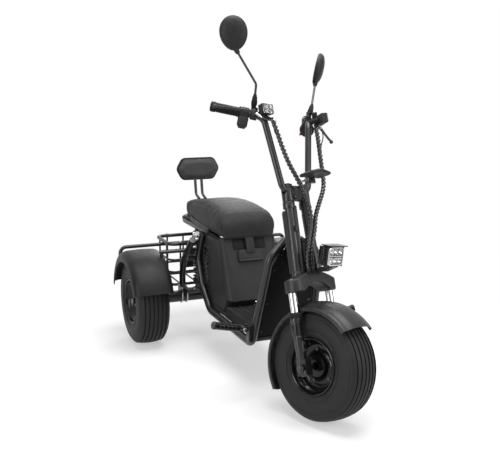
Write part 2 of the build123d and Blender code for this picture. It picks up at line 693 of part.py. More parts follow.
PLATE_HOLE_SPACING = 120.0
with BuildPart() as plate_bracket:
    add(slab((PLATE_X - 3, -95, 300), (PLATE_X + 4, 95, 406)))
    for sign in (-1, 1):
        hole = (PLATE_X, sign * PLATE_HOLE_SPACING / 2, 380)
        add(rod((hole[0] - 9, hole[1], hole[2]), (hole[0] + 9, hole[1], hole[2]), 3.5), mode=Mode.SUBTRACT)
write(plate_bracket, "plate_bracket", CHASSIS)

# Seat bearers: two tubes back from the frame to the hinge
BEARER_Y = 100.0
with BuildPart() as seat_bearers:
    for sign in (-1, 1):
        add(rod((190, sign * BEARER_Y, 592), (-250, sign * BEARER_Y, 592), 14))
        add(slab((HINGE_X, sign * BEARER_Y - 4, 582), (-240, sign * BEARER_Y + 4, 602)))
        add(rod((HINGE_X, sign * BEARER_Y - 4, HINGE_Z), (HINGE_X, sign * BEARER_Y + 4, HINGE_Z), 11))
        add(rod((-40, sign * BEARER_Y, 590), (29, sign * 188, 454), 10))
    add(rod((-240, -BEARER_Y, 592), (-240, BEARER_Y, 592), 12))
    add(rod((HINGE_X, -BEARER_Y, HINGE_Z), (HINGE_X, BEARER_Y, HINGE_Z), HINGE_PIN_R))
write(seat_bearers, "seat_bearers", CHASSIS)

# Seat: a pan with hinge ears, the saddle, the raised pad behind it and the backrest
with BuildPart() as seat_pan:
    add(slab((-268, -106, 614), (400, 106, 624)))
    for sign in (-1, 1):
        add(slab((HINGE_X - 8, sign * 80 - 6, HINGE_Z), (-262, sign * 80 + 6, 624)))
        add(rod((HINGE_X, sign * 80 - 6, HINGE_Z), (HINGE_X, sign * 80 + 6, HINGE_Z), 12))
        add(rod((HINGE_X, sign * 80 - 8, HINGE_Z), (HINGE_X, sign * 80 + 8, HINGE_Z),
                HINGE_PIN_R + RUNNING_GAP), mode=Mode.SUBTRACT)
write(seat_pan, "seat_pan", CHASSIS)

SADDLE_SIDE = [  # (x, z) round the side view
    (464, 624.5), (460, 672), (436, 706), (384, 735), (300, 756), (200, 766), (90, 764), (-40, 748),
    (-148, 722), (-148, 640), (60, 624.5),
]
SADDLE_HALF = 150.0
SADDLE_ROLL = 26.0


def pillow(outline, plane, half, roll):
    """A padded block: outline across the middle, drawn in towards both sides over the roll."""
    with BuildPart() as block:
        for facing in (plane, Plane(plane.origin, x_dir=plane.x_dir, z_dir=-plane.z_dir)):
            points = [(x, z if facing is plane else -z) for x, z in outline]
            with BuildSketch(facing):
                Polygon(*points, align=None)
            extrude(amount=half - roll)
            with BuildSketch(facing.offset(half - roll)):
                Polygon(*points, align=None)
            extrude(amount=roll, taper=38)
    return block.part


with BuildPart() as saddle:
    add(pillow(SADDLE_SIDE, Plane.XZ, SADDLE_HALF, SADDLE_ROLL))
write(saddle, "saddle", CHASSIS)

with BuildPart() as rear_pad:
    add(slab((-286, -98, 626), (-156, 98, 716)))
    fillet(rear_pad.edges().filter_by(Axis.Z), 36)
write(rear_pad, "rear_pad", CHASSIS)

BACKREST_Z = 878.0
BACKREST_X = -312.0
with BuildPart() as backrest_posts:
    for sign in (-1, 1):
        add(tube([(-240, sign * 19, 714), (-296, sign * 19, 736), (BACKREST_X + 2, sign * 19, 822)], 8, 24))
write(backrest_posts, "backrest_posts", CHASSIS)

with BuildPart() as backrest_pad:
    with BuildSketch(Plane((BACKREST_X - 24, 0, BACKREST_Z), x_dir=(0, 1, 0), z_dir=(1, 0, 0))):
        Polygon((-133, 0), (-96, 66), (96, 66), (133, 0), (96, -66), (-96, -66), align=None)
    extrude(amount=48)
write(backrest_pad, "backrest_pad", CHASSIS)

with BuildPart() as latch_strap:
    with BuildSketch(PANEL.offset(16)):
        with Locations((0, panel_up.length * 0.88)):
            Rectangle(46, 100)
    extrude(amount=4)
write(latch_strap, "latch_strap", CHASSIS)
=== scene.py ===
# %% [markdown]
# # A three-wheeled electric scooter, dressed
# The solid model gives every tube, wheel and hinge at its true size. This lesson keeps that
# frame fixed and builds the looks round it: ribbed tyres, stitched seats, lamps, levers and
# the two spiral-wrapped looms. Each cell makes one thing and prints what it made.

# %% Load the frame
import math
import bmesh
import bpy
from mathutils import Matrix, Vector
from mathutils.bvhtree import BVHTree


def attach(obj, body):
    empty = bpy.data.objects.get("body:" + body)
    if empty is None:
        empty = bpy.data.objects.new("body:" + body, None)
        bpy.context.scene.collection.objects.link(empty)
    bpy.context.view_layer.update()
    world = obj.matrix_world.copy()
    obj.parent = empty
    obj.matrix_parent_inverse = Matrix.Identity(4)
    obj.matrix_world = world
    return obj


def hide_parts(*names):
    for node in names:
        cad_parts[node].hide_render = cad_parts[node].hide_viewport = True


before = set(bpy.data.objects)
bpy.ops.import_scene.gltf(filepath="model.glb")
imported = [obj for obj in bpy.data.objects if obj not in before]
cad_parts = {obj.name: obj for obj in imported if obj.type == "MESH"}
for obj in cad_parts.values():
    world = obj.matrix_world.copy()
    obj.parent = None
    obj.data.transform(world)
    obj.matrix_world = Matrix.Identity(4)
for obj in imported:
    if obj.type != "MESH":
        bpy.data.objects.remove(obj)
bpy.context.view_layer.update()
scene = bpy.context.scene

# %% [markdown]
# ## Two drawing frames
# The chassis is drawn with x measured forward from the rear axle. The steering is drawn square
# to the fork, x ahead, y left and z up the steering axis, and is then leaned back and turned to
# the left as it stands in the photograph. Two matrices carry millimetres in either frame to the
# scene's metres, so no piece is ever fitted by eye.

# %% Chassis and fork frames
RAKE, TURN = math.radians(21), math.radians(22)
MM = Matrix.Scale(0.001, 4)
CHASSIS = Matrix.Translation((-0.5634, 0, 0)) @ MM
lean = Matrix.Rotation(-RAKE, 4, "Y")
FORK = Matrix.Translation((0.672331, 0, 0.228456)) @ lean @ Matrix.Rotation(TURN, 4, "Z") @ MM
SIDES = (("right", -1), ("left", 1))
FRONT_HUB, HALF_TRACK, TYRE_R, LEG_Y = (11, 0, 0), 416, 228, 114.6
print("fork foot", FORK @ Vector((0, 0, 0)), "front axle", FORK @ Vector(FRONT_HUB))

# %% [markdown]
# ## Node helpers
# The sky and the finishes are small node trees. A few helpers place the nodes that come up again
# and again, so that a tree reads as a few lines of arithmetic.

# %% Nodes, arithmetic and noise


def feed(tree, slot, value):
    """Set an input to a constant, or link another node's output to it."""
    if isinstance(value, bpy.types.NodeSocket):
        tree.links.new(value, slot)
    else:
        slot.default_value = value


def add_node(tree, kind, **values):
    """A shader node with its inputs fed by label; an underscore stands for a space."""
    node = tree.nodes.new("ShaderNode" + kind)
    for label, value in values.items():
        feed(tree, node.inputs[label.replace("_", " ")], value)
    return node


def step(tree, operation, first, second, clamp=False):
    """One Math node; each operand is a socket or a number."""
    node = add_node(tree, "Math")
    node.operation, node.use_clamp = operation, clamp
    feed(tree, node.inputs[0], first)
    feed(tree, node.inputs[1], second)
    return node.outputs[0]


def vector_step(tree, operation, first, second=None):
    """One Vector Math node, giving a number where the operation does."""
    node = add_node(tree, "VectorMath")
    node.operation = operation
    feed(tree, node.inputs[0], first)
    if second is not None:
        feed(tree, node.inputs[1], second)
    return node.outputs["Value" if operation in ("LENGTH", "DOT_PRODUCT") else "Vector"]


def spread(tree, value, low, high, to_low=0.0, to_high=1.0):
    """A Map Range node from low-high to to_low-to_high, clamped."""
    node = add_node(tree, "MapRange", Value=value, From_Min=low, From_Max=high, To_Min=to_low,
                    To_Max=to_high)
    return node.outputs["Result"]


def noise(tree, where, scale, detail):
    """A Noise texture at where; the scale is a socket or a number."""
    return add_node(tree, "TexNoise", Vector=where, Scale=scale, Detail=detail).outputs["Fac"]


print("node helpers ready")

# %% [markdown]
# ## The studio
# The photograph was taken in a white sweep with large soft lamps, tall strips at the sides that
# leave long bright streaks on every tube. A floor disc takes the shadow near the wheels and fades
# to plain white further out, where only the camera and reflections see it; a curved paper sweep
# would stand in the way of the views from behind. The lamps give about the light at which a
# colour renders as it is written. Black cards, which only reflections see, stand round the set as
# a photographer stands them, to give chrome its dark lines.

# %% Sky and floor
WHITE = (1.0, 1.0, 1.0, 1.0)
SKY_LIGHT = 0.30  # the sky's strength as a lamp; it is seen at 1
FLOOR_FADE = (0.9, 2.6)  # metres from the middle between which the floor turns white


def seen_mask(tree):
    """Camera, glossy and transmission rays added up: the rays that show a background."""
    rays = add_node(tree, "LightPath").outputs
    seen = step(tree, "ADD", rays["Is Camera Ray"], rays["Is Glossy Ray"])
    return step(tree, "ADD", seen, rays["Is Transmission Ray"], True)


def stand(name, bm, material, where):
    """A sheet of the set, which is no part of the scooter."""
    mesh = bpy.data.meshes.new(name)
    bm.to_mesh(mesh)
    bm.free()
    mesh.materials.append(material)
    made = bpy.data.objects.new(name, mesh)
    made.location = where
    scene.collection.objects.link(made)
    return made


world = bpy.data.worlds.new("white_studio")
scene.world = world
world.use_nodes = True
sky = world.node_tree
backdrop = sky.nodes["Background"]
backdrop.inputs["Color"].default_value = WHITE
feed(sky, backdrop.inputs["Strength"], spread(sky, seen_mask(sky), 0.0, 1.0, SKY_LIGHT, 1.0))

floor_paint = bpy.data.materials.new("studio_floor")
floor_paint.use_nodes = True
tree = floor_paint.node_tree
tree.nodes.clear()
matt = add_node(tree, "BsdfDiffuse", Color=(0.93, 0.93, 0.93, 1))
far = add_node(tree, "Emission", Color=WHITE)
reach = vector_step(tree, "LENGTH", add_node(tree, "TexCoord").outputs["Object"])
fade = spread(tree, reach, *FLOOR_FADE, 0.45, 1.0)
fade.node.interpolation_type = "SMOOTHSTEP"
mix = add_node(tree, "MixShader", Fac=step(tree, "MULTIPLY", fade, seen_mask(tree)))
feed(tree, mix.inputs[1], matt.outputs["BSDF"])
feed(tree, mix.inputs[2], far.outputs["Emission"])
add_node(tree, "OutputMaterial", Surface=mix.outputs["Shader"])

disc = bmesh.new()
bmesh.ops.create_circle(disc, cap_ends=True, segments=96, radius=40)
stand("floor", disc, floor_paint, (0, 0, -0.0006))
print("sky and floor made")

# %% Lamps and cards
LAMPS = [  # (name, place, aim, width, height, power)
    ("overhead", (0.5, 0.1, 3.7), (0.1, 0.0, 0.4), 2.4, 2.4, 135.0),
    ("right_strip", (1.6, -3.3, 1.5), (0.1, 0.0, 0.6), 0.8, 2.6, 58.0),
    ("left_strip", (3.2, 2.6, 1.7), (0.3, 0.0, 0.6), 0.8, 2.6, 62.0),
    ("back_rim", (-3.2, 1.4, 2.4), (0.0, 0.0, 0.6), 1.4, 1.4, 50.0),
]
for name, where, aim, width, height, power in LAMPS:
    lamp = bpy.data.lights.new(name, "AREA")
    lamp.shape = "RECTANGLE"
    lamp.size, lamp.size_y = width, height
    lamp.energy = power
    holder = bpy.data.objects.new(name, lamp)
    holder.location = where
    holder.rotation_euler = (Vector(aim) - Vector(where)).to_track_quat("-Z", "Y").to_euler()
    scene.collection.objects.link(holder)
CARDS = [  # (name, place, width, height)
    ("card_behind_camera", (5.4, -2.3, 1.4), 2.2, 4.4),
    ("card_left", (0.4, 5.6, 1.4), 2.6, 4.4),
    ("card_right", (-1.8, -5.4, 1.4), 2.6, 4.4),
]
card_black = bpy.data.materials.new("black_card")
card_black.use_nodes = True
card_black.node_tree.nodes["Principled BSDF"].inputs["Base Color"].default_value = (0.01, 0.01, 0.01, 1)
for name, where, width, height in CARDS:
    sheet = bmesh.new()
    bmesh.ops.create_grid(sheet, x_segments=1, y_segments=1, size=0.5)
    bmesh.ops.scale(sheet, vec=(width, height, 1), verts=sheet.verts)
    card = stand(name, sheet, card_black, where)
    card.rotation_euler = Vector((where[0], where[1], 0)).to_track_quat("Z", "Y").to_euler()
    card.visible_camera = card.visible_diffuse = card.visible_shadow = card.visible_transmission = False
print("studio:", len(LAMPS), "soft lamps and", len(CARDS), "black cards")

# %% [markdown]
# ## The camera
# The photograph looks from the front right, a little above the axle, through a moderately long
# lens. The place and the lens come from the three wheels, whose real size is known.

# %% Camera
eye = bpy.data.cameras.new("photo_camera")
eye.lens = 57.7
eye.sensor_width = 36
camera = bpy.data.objects.new("photo_camera", eye)
camera.location = (3.4613, -1.4823, 1.4050)
back = Vector((0.9074, -0.3777, 0.1840))
camera.rotation_euler = (-back).to_track_quat("-Z", "Y").to_euler()
scene.collection.objects.link(camera)
scene.camera = camera
scene.view_settings.view_transform = "Standard"
print("camera", tuple(camera.location), "lens", eye.lens)

# %% [markdown]
# ## Shared effects
# Nothing on a real scooter is one flat colour. Paint has a faint orange peel, moulded plastic a
# spark-eroded grain, edges rub bright and level faces gather dust. Each effect is one node group
# with named sockets, so every finish uses the same recipe with its own values. A group gives out
# masks and heights only; the shader stays in the material.

# %% Mould grain, edge rub, dust and scuffs


def new_group(name, outputs, **inputs):
    """An empty shader group: its tree, its inputs, its outputs and the object's coordinates."""
    group = bpy.data.node_groups.new(name, "ShaderNodeTree")
    for label, value in inputs.items():
        socket = group.interface.new_socket(label, in_out="INPUT", socket_type="NodeSocketFloat")
        socket.default_value = value
    for label in outputs:
        group.interface.new_socket(label, in_out="OUTPUT", socket_type="NodeSocketFloat")
    goes_in, goes_out = group.nodes.new("NodeGroupInput"), group.nodes.new("NodeGroupOutput")
    return group, goes_in.outputs, goes_out.inputs, add_node(group, "TexCoord").outputs["Object"]


grain, ins, outs, where = new_group("Mould_Grain", ["Height", "Mottle"], Scale=900.0)
feed(grain, outs["Height"], noise(grain, where, ins["Scale"], 2.0))
broad = step(grain, "ADD", noise(grain, where, 9.0, 4.0), noise(grain, where, 60.0, 2.0))
feed(grain, outs["Mottle"], step(grain, "MULTIPLY", broad, 0.5))

rub, ins, outs, where = new_group("Edge_Rub", ["Mask"], Width=0.002)
eased = add_node(rub, "Bevel", Radius=ins["Width"])
eased.samples = 4
face = add_node(rub, "NewGeometry").outputs["Normal"]
bare = spread(rub, vector_step(rub, "DOT_PRODUCT", eased.outputs["Normal"], face), 0.985, 0.86)
patchy = spread(rub, noise(rub, where, 70.0, 5.0), 0.42, 0.62)
feed(rub, outs["Mask"], step(rub, "MULTIPLY", bare, patchy))

dust, ins, outs, where = new_group("Settled_Dust", ["Mask"], Amount=0.3)
facing = add_node(dust, "SeparateXYZ", Vector=add_node(dust, "NewGeometry").outputs["Normal"])
level_faces = spread(dust, facing.outputs["Z"], 0.1, 1.0)
cloud = spread(dust, noise(dust, where, 14.0, 6.0), 0.35, 0.7)
film = step(dust, "MULTIPLY", level_faces, cloud)
feed(dust, outs["Mask"], step(dust, "MULTIPLY", film, ins["Amount"]))

scuff, ins, outs, where = new_group("Hair_Scuffs", ["Mask"], Scale=40.0)
stretched = vector_step(scuff, "MULTIPLY", where, (1.0, 12.0, 20.0))
hairs = spread(scuff, noise(scuff, stretched, ins["Scale"], 4.0), 0.66, 0.74)
thin_out = spread(scuff, noise(scuff, where, 6.0, 3.0), 0.45, 0.65)
feed(scuff, outs["Mask"], step(scuff, "MULTIPLY", hairs, thin_out))
print("groups:", [group.name for group in bpy.data.node_groups])

# %% Hide grain and spun rings
hide, ins, outs, where = new_group("Hide_Grain", ["Height"], Scale=420.0)
cells = add_node(hide, "TexVoronoi")
cells.feature = "DISTANCE_TO_EDGE"
feed(hide, cells.inputs["Vector"], where)
feed(hide, cells.inputs["Scale"], ins["Scale"])
feed(hide, outs["Height"], spread(hide, cells.outputs["Distance"], 0.0, 0.28))

spun, ins, outs, where = new_group("Spun_Lines", ["Height"], Scale=500.0)
pulled = vector_step(spun, "MULTIPLY", where, (0.05, 0.05, 1.0))
feed(spun, outs["Height"], noise(spun, pulled, ins["Scale"], 1.0))
print("hide and spun groups added")

# %% [markdown]
# ## Finishes
# One function lays out the usual painted or moulded surface: a body colour that drifts between
# two shades, roughness that drifts with it, grain in the bump, pale rub on the edges and dust on
# level faces. Metal, glass and lamps differ too much and get short cells of their own. Numbers
# that are the same all over sit on the shader's sockets.

# %% Painted and moulded surfaces
DUST, SCRATCH = (0.32, 0.31, 0.29), (0.30, 0.30, 0.30)


def group_node(tree, group, **values):
    """A placed copy of a group with its inputs set."""
    node = tree.nodes.new("ShaderNodeGroup")
    node.node_tree = group
    for label, value in values.items():
        node.inputs[label].default_value = value
    return node


def tint(tree, mask, low, high):
    """A colour between low and high, each a colour or a socket, by a mask socket."""
    node = add_node(tree, "Mix")
    node.data_type = "RGBA"
    feed(tree, node.inputs["Factor"], mask)
    for slot, colour in ((node.inputs[6], low), (node.inputs[7], high)):
        feed(tree, slot, (*colour, 1) if isinstance(colour, tuple) else colour)
    return node.outputs[2]


def finish(name, deep, pale, rough, scale, bump, rubbed=None, dusty=0.15, scuffs=0.0, texture=grain,
           gloss=0.28):
    """A painted, moulded or rubber surface; rough holds the roughness at its two shades."""
    material = bpy.data.materials.new(name)
    material.use_nodes = True
    tree = material.node_tree
    shader = tree.nodes["Principled BSDF"]
    shader.inputs["Specular IOR Level"].default_value = gloss
    height = group_node(tree, texture, Scale=scale).outputs["Height"]
    mottle = group_node(tree, grain).outputs["Mottle"]
    colour = tint(tree, spread(tree, mottle, 0.36, 0.64), deep, pale)
    roughness = spread(tree, mottle, 0.36, 0.64, *rough)
    if scuffs:
        hair = group_node(tree, scuff).outputs["Mask"]
        colour = tint(tree, step(tree, "MULTIPLY", hair, scuffs), colour, SCRATCH)
    if rubbed:
        edge = group_node(tree, rub).outputs["Mask"]
        colour = tint(tree, step(tree, "MULTIPLY", edge, 0.55), colour, rubbed)
    film = group_node(tree, dust, Amount=dusty).outputs["Mask"]
    roughness = step(tree, "ADD", roughness, step(tree, "MULTIPLY", film, 0.3), True)
    relief = add_node(tree, "Bump", Strength=bump, Distance=0.001, Height=height)
    feed(tree, shader.inputs["Base Color"], tint(tree, film, colour, DUST))
    feed(tree, shader.inputs["Roughness"], roughness)
    feed(tree, shader.inputs["Normal"], relief.outputs["Normal"])
    return material


def grey(level, blue=None):
    """A neutral shade, a little bluer where asked."""
    return (level, level, level if blue is None else blue)


GREY_RUB, DARK_RUB = grey(0.16, 0.165), grey(0.09)
PAINT = finish("satin_black_paint", grey(0.0055, 0.006), grey(0.0090, 0.0095),
               (0.27, 0.37), 260, 0.05, GREY_RUB, 0.06, 0.02, gloss=0.48)
PLASTIC = finish("moulded_black_plastic", grey(0.0125, 0.013), grey(0.018, 0.0185),
                 (0.44, 0.56), 1300, 0.22, DARK_RUB, 0.06, 0.02, gloss=0.20)
# SHADED is the black plastic made darker still: painted shade, for the leg shield, battery and kick plate,
# which stand in shade.
SHADED = finish("shield_painted_shade", grey(0.0030, 0.0032), grey(0.0050, 0.0053),
                (0.40, 0.52), 1100, 0.12, DARK_RUB, 0.03, 0.02, gloss=0.10)
FENDER = finish("fender_plastic", grey(0.0085, 0.009), grey(0.0125, 0.013),
                (0.36, 0.46), 1500, 0.14, DARK_RUB, 0.05, 0.02, gloss=0.33)
# The rear fenders' copy of the fender plastic is darker and duller: painted shade, which sets them darker
# than the front fender and yoke.
REAR_FENDER_SHADE = finish("rear_fender_painted_shade", grey(0.0062, 0.0065), grey(0.0095, 0.010),
                     (0.42, 0.52), 1500, 0.14, DARK_RUB, 0.04, 0.02, gloss=0.17)
GLOSS = finish("gloss_black_paint", grey(0.0035, 0.004), grey(0.0055, 0.006),
               (0.12, 0.22), 120, 0.03, DARK_RUB, 0.03, 0.02, gloss=0.27)
RUBBER = finish("foot_rubber", grey(0.0075), grey(0.012),
                (0.58, 0.74), 1000, 0.25, grey(0.05), 0.06, 0.02, gloss=0.12)
TREAD = finish("tyre_rubber", grey(0.0105), grey(0.0175),
               (0.50, 0.66), 700, 0.32, grey(0.055), 0.05, 0.0, gloss=0.20)
WRAP = finish("loom_wrap", grey(0.006), grey(0.010), (0.16, 0.26), 600, 0.05, None, 0.04, gloss=0.55)
CABLE = finish("cable_sheath", grey(0.010), grey(0.016), (0.30, 0.42), 700, 0.08)
LEVER = finish("lever_paint", grey(0.018, 0.019), grey(0.027, 0.028),
               (0.28, 0.40), 300, 0.06, grey(0.30), 0.05, 0.03)
VINYL = finish("seat_vinyl", grey(0.0155, 0.016), grey(0.0225, 0.023),
               (0.52, 0.64), 520, 0.34, None, 0.03, 0.01, texture=hide, gloss=0.16)
BACK_VINYL = finish("backrest_vinyl", grey(0.032, 0.0325), grey(0.043, 0.0435),
                    (0.52, 0.64), 520, 0.34, None, 0.04, 0.01, texture=hide, gloss=0.22)
THREAD = finish("seat_thread", grey(0.05), grey(0.075), (0.6, 0.75), 1600, 0.4)
RED_CAP = finish("red_switch_cap", (0.36, 0.012, 0.012), (0.46, 0.02, 0.02), (0.28, 0.4), 900, 0.1)
BULB = finish("pale_bulb", (0.50, 0.46, 0.40), (0.60, 0.56, 0.50), (0.2, 0.3), 500, 0.05)
SCREEN = finish("screen_glass", grey(0.004, 0.005), grey(0.006, 0.008), (0.05, 0.10), 80, 0.01, None, 0.05)
LED = finish("led_chip", (0.90, 0.82, 0.45), (0.95, 0.88, 0.55), (0.3, 0.4), 800, 0.1)
print("finishes:", len(bpy.data.materials))

# %% Metal, lenses and mirror


def metal(name, deep, pale, rough, scale, bump):
    """Bare or plated metal with faint tool lines along it."""
    material = finish(name, deep, pale, rough, scale, bump, None, 0.04, 0.0, spun)
    material.node_tree.nodes["Principled BSDF"].inputs["Metallic"].default_value = 1.0
    return material


def lens(name, deep, pale, rough):
    """A clear moulding: light goes through, faint flow marks stay in its roughness."""
    material = finish(name, deep, pale, rough, 120, 0.02, None, 0.03)
    shader = material.node_tree.nodes["Principled BSDF"]
    shader.inputs["Transmission Weight"].default_value = 1.0
    shader.inputs["IOR"].default_value = 1.49
    return material


CHROME = metal("polished_chrome", grey(0.60, 0.62), grey(0.70, 0.72), (0.04, 0.09), 500, 0.02)
ZINC = metal("zinc_steel", grey(0.42, 0.43), grey(0.58, 0.59), (0.26, 0.40), 900, 0.08)
DARK_STEEL = metal("dark_steel", grey(0.055, 0.058), grey(0.095, 0.10), (0.30, 0.44), 700, 0.08)
MIRROR = metal("mirror_silver", (0.40, 0.43, 0.46), (0.46, 0.49, 0.52), (0.01, 0.03), 60, 0.0)
REFLECTOR = metal("lamp_reflector", grey(0.50, 0.51), grey(0.62, 0.63), (0.05, 0.10), 300, 0.03)
CLEAR = lens("clear_lens", (0.94, 0.95, 0.95), (0.98, 0.98, 0.98), (0.02, 0.06))
RED_LENS = lens("red_lens", (0.55, 0.01, 0.01), (0.70, 0.02, 0.02), (0.05, 0.12))
print("metals and lenses:", len(bpy.data.materials))

# %% [markdown]
# ## A shape kit
# Most of the pieces are turned, bent from bar, or moulded with rounded edges. Short helpers cover
# them: a skin over rings of points, a lathe, a swept bar, a rounded block, a prism, a screw and the
# four walls of a lamp. They draw in millimetres in the chassis or fork frame and add to a mesh
# under construction. The last helpers turn that mesh into a finished piece on its body.

# %% Skin, lathe, bar, block
CREASE = 38  # degrees past which an edge is drawn sharp
SQUARE = ((-1, -1), (1, -1), (1, 1), (-1, 1))


def soft(value, power):
    """A signed power, which squares a circle's sine and cosine off."""
    return math.copysign(abs(value) ** power, value)


def skin(bm, rings, closed=True, looped=False, capped=True):
    """Quads between rings of equal length; closed joins each ring's ends, looped the ring row."""
    grid = [[bm.verts.new(point) for point in ring] for ring in rings]
    across = len(grid[0]) if closed else len(grid[0]) - 1
    along = len(grid) if looped else len(grid) - 1
    for i in range(along):
        near, next_ring = grid[i], grid[(i + 1) % len(grid)]
        for j in range(across):
            k = (j + 1) % len(near)
            bm.faces.new((near[j], near[k], next_ring[k], next_ring[j]))
    if capped and not looped:
        bm.faces.new(grid[0][::-1])
        bm.faces.new(grid[-1])


def axis_frame(origin, along):
    """A matrix whose Z runs along a direction from origin."""
    turn = Vector(along).to_track_quat("Z", "Y").to_matrix().to_4x4()
    return Matrix.Translation(origin) @ turn


def lathe(bm, profile, at, steps, closed=False):
    """(radius, height) pairs spun about the Z of the matrix at; closed joins the profile's ends."""
    rings = []
    for i in range(steps):
        a = math.radians(360 * i / steps)
        rings.append([at @ Vector((r * math.cos(a), r * math.sin(a), h)) for r, h in profile])
    skin(bm, rings, closed, looped=True)


def rounded(points, pieces):
    """A smooth run through points (Catmull-Rom), for bent bar and wire."""
    points = [Vector(p) for p in points]
    ends = [2 * points[0] - points[1], *points, 2 * points[-1] - points[-2]]
    run = []
    for a, b, c, d in zip(ends, ends[1:], ends[2:], ends[3:]):
        for i in range(pieces):
            t = i / pieces
            run.append(0.5 * (2 * b + (c - a) * t + (2 * a - 5 * b + 4 * c - d) * t * t
                              + (3 * b - a - 3 * c + d) * t ** 3))
    return run + [points[-1]]


def bar(bm, points, radius, sides, flat=1.0):
    """A bar along points; radius may change from point to point, flat thins it one way."""
    points = [Vector(p) for p in points]
    radii = radius if isinstance(radius, list) else [radius] * len(points)
    heading = (points[1] - points[0]).normalized()
    side = heading.orthogonal().normalized()
    rings = []
    for i, point in enumerate(points):
        ahead = (points[min(i + 1, len(points) - 1)] - points[max(i - 1, 0)]).normalized()
        side = heading.rotation_difference(ahead) @ side
        side = (side - ahead * side.dot(ahead)).normalized()
        heading = ahead
        other = ahead.cross(side)
        ring = []
        for j in range(sides):
            a = math.tau * j / sides
            ring.append(point + (side * math.cos(a) + other * math.sin(a) * flat) * radii[i])
        rings.append(ring)
    skin(bm, rings)


def ease(bm, edges, radius, segments):
    """Round a set of edges."""
    bmesh.ops.bevel(bm, geom=list(edges), offset=radius, segments=segments, profile=0.5, affect="EDGES",
                    clamp_overlap=True)


def block(bm, low, high, edge, at=Matrix()):
    """A box between any two opposite corners with its edges rounded."""
    low, high = Vector(low), Vector(high)
    form = Matrix.Translation((low + high) / 2) @ Matrix.Diagonal((*map(abs, high - low), 1))
    made = bmesh.ops.create_cube(bm, size=1, matrix=at @ form)
    ease(bm, {e for v in made["verts"] for e in v.link_edges}, edge, 3)


def walls(bm, at, reach, half, thick, edge):
    """Four walls round the X of the matrix at; half and thick are given across and up."""
    (near, far), (y, z), (side, flat) = reach, half, thick
    for low, high in (((-y, z - flat), (y, z)), ((-y, -z), (y, flat - z)),
                      ((-y, -z), (side - y, z)), ((y - side, -z), (y, z))):
        block(bm, (near, *low), (far, *high), edge, at)


def prism(bm, outline, at, depth, edge, segments=2):
    """A flat outline in the XY of the matrix at, raised by depth along its Z, edges rounded."""
    count = len(outline)
    low = [bm.verts.new(at @ Vector((x, y, 0))) for x, y in outline]
    high = [bm.verts.new(at @ Vector((x, y, depth))) for x, y in outline]
    ends = [bm.faces.new(low[::-1]), bm.faces.new(high)]
    for i in range(count):
        j = (i + 1) % count
        bm.faces.new((low[i], low[j], high[j], high[i]))
    ease(bm, {e for face in ends for e in face.edges}, edge, segments)


def bolt(bm, at, along, size):
    """A hexagon screw on its washer; size is the thread's radius."""
    seat = axis_frame(at, along)
    lathe(bm, [(0, 0), (size * 2.1, 0), (size * 2.2, size * 0.3), (0, size * 0.35)], seat, 20)
    lathe(bm, [(0, 0), (size * 1.7, 0), (size * 1.7, size * 1.2), (size * 1.4, size * 1.45),
               (0, size * 1.5)], seat, 6)


def piece(name, bm, place, body, material, stands_for=(), crease=CREASE, weld=0.001):
    """A finished mesh in its place, on its body, in its finish."""
    if weld:
        bmesh.ops.remove_doubles(bm, verts=bm.verts, dist=weld)
    bmesh.ops.recalc_face_normals(bm, faces=bm.faces)
    mesh = bpy.data.meshes.new(name)
    bm.to_mesh(mesh)
    bm.free()
    mesh.transform(place)
    mesh.shade_smooth()
    mesh.set_sharp_from_angle(angle=math.radians(crease))
    mesh.materials.append(material)
    made = bpy.data.objects.new(name, mesh)
    scene.collection.objects.link(made)
    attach(made, body)
    if stands_for:
        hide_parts(*stands_for)
    return made


def on_frame(name, bm, material, stands_for=(), crease=CREASE):
    """A piece drawn in the chassis frame that stays with it."""
    return piece(name, bm, CHASSIS, "frame", material, stands_for, crease)


def on_fork(name, bm, material, stands_for=(), crease=CREASE):
    """A piece drawn in the fork frame that steers with it."""
    return piece(name, bm, FORK, "steering", material, stands_for, crease)


def tell(made):
    """Print what a cell made."""
    print(made.name, len(made.data.polygons), "faces")


print("shape kit ready")

# %% [markdown]
# ## Frame pieces that stay as they are
# Tubes, plates and castings are right in the solid model already. They keep their own mesh and
# only get a finish. A weld, a planar dissolve and a fine bevel, all as modifiers, take the knife
# edge off the plates; the stored mesh isn't touched.

# %% Dress the solid pieces
DRESSED = [  # (finish, edge radius in mm, pieces)
    (PAINT, 0.0, ["main_frame", "rear_subframe", "seat_bearers", "basket", "fender_hoop", "handlebar",
                  "fork_columns", "steering_stem", "backrest_posts", "mirror_stalks"]),
    (PAINT, 1.6, ["peg_brackets", "headlamp_bracket", "plate_bracket", "upper_clamp"]),
    (PAINT, 2.0, ["fork_legs", "axle_housing"]),
    # The shield and battery take SHADED, the painted-shade black.
    (SHADED, 1.5, ["leg_shield", "battery"]),
    (PLASTIC, 1.5, ["seat_pan"]),
    (PLASTIC, 3.0, ["front_panel", "side_panel_right", "side_panel_left"]),
    (RUBBER, 1.2, ["footboard"]),
    (PAINT, 0.8, ["peg_right", "peg_left"]),
    (CHROME, 0.0, ["stanchions"]),
    (ZINC, 0.8, ["display_bracket"]),
    (RUBBER, 0.8, ["loom_glands"]),
    (DARK_STEEL, 0.8, ["front_axle"]),
    (MIRROR, 0.0, ["mirror_glass"]),
]
for material, edge, names in DRESSED:
    for name in names:
        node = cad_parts[name]
        node.data.materials.clear()
        node.data.materials.append(material)
        if edge:
            node.modifiers.new("weld", "WELD").merge_threshold = 0.00001
            flatten = node.modifiers.new("flatten", "DECIMATE")
            flatten.decimate_type = "DISSOLVE"
            flatten.angle_limit = math.radians(1)
            soften = node.modifiers.new("soften", "BEVEL")
            soften.width = edge / 1000
            soften.segments = 3
            soften.limit_method = "ANGLE"
            soften.angle_limit = math.radians(35)
            soften.harden_normals = True
print("dressed", sum(len(names) for _, _, names in DRESSED), "solid pieces")

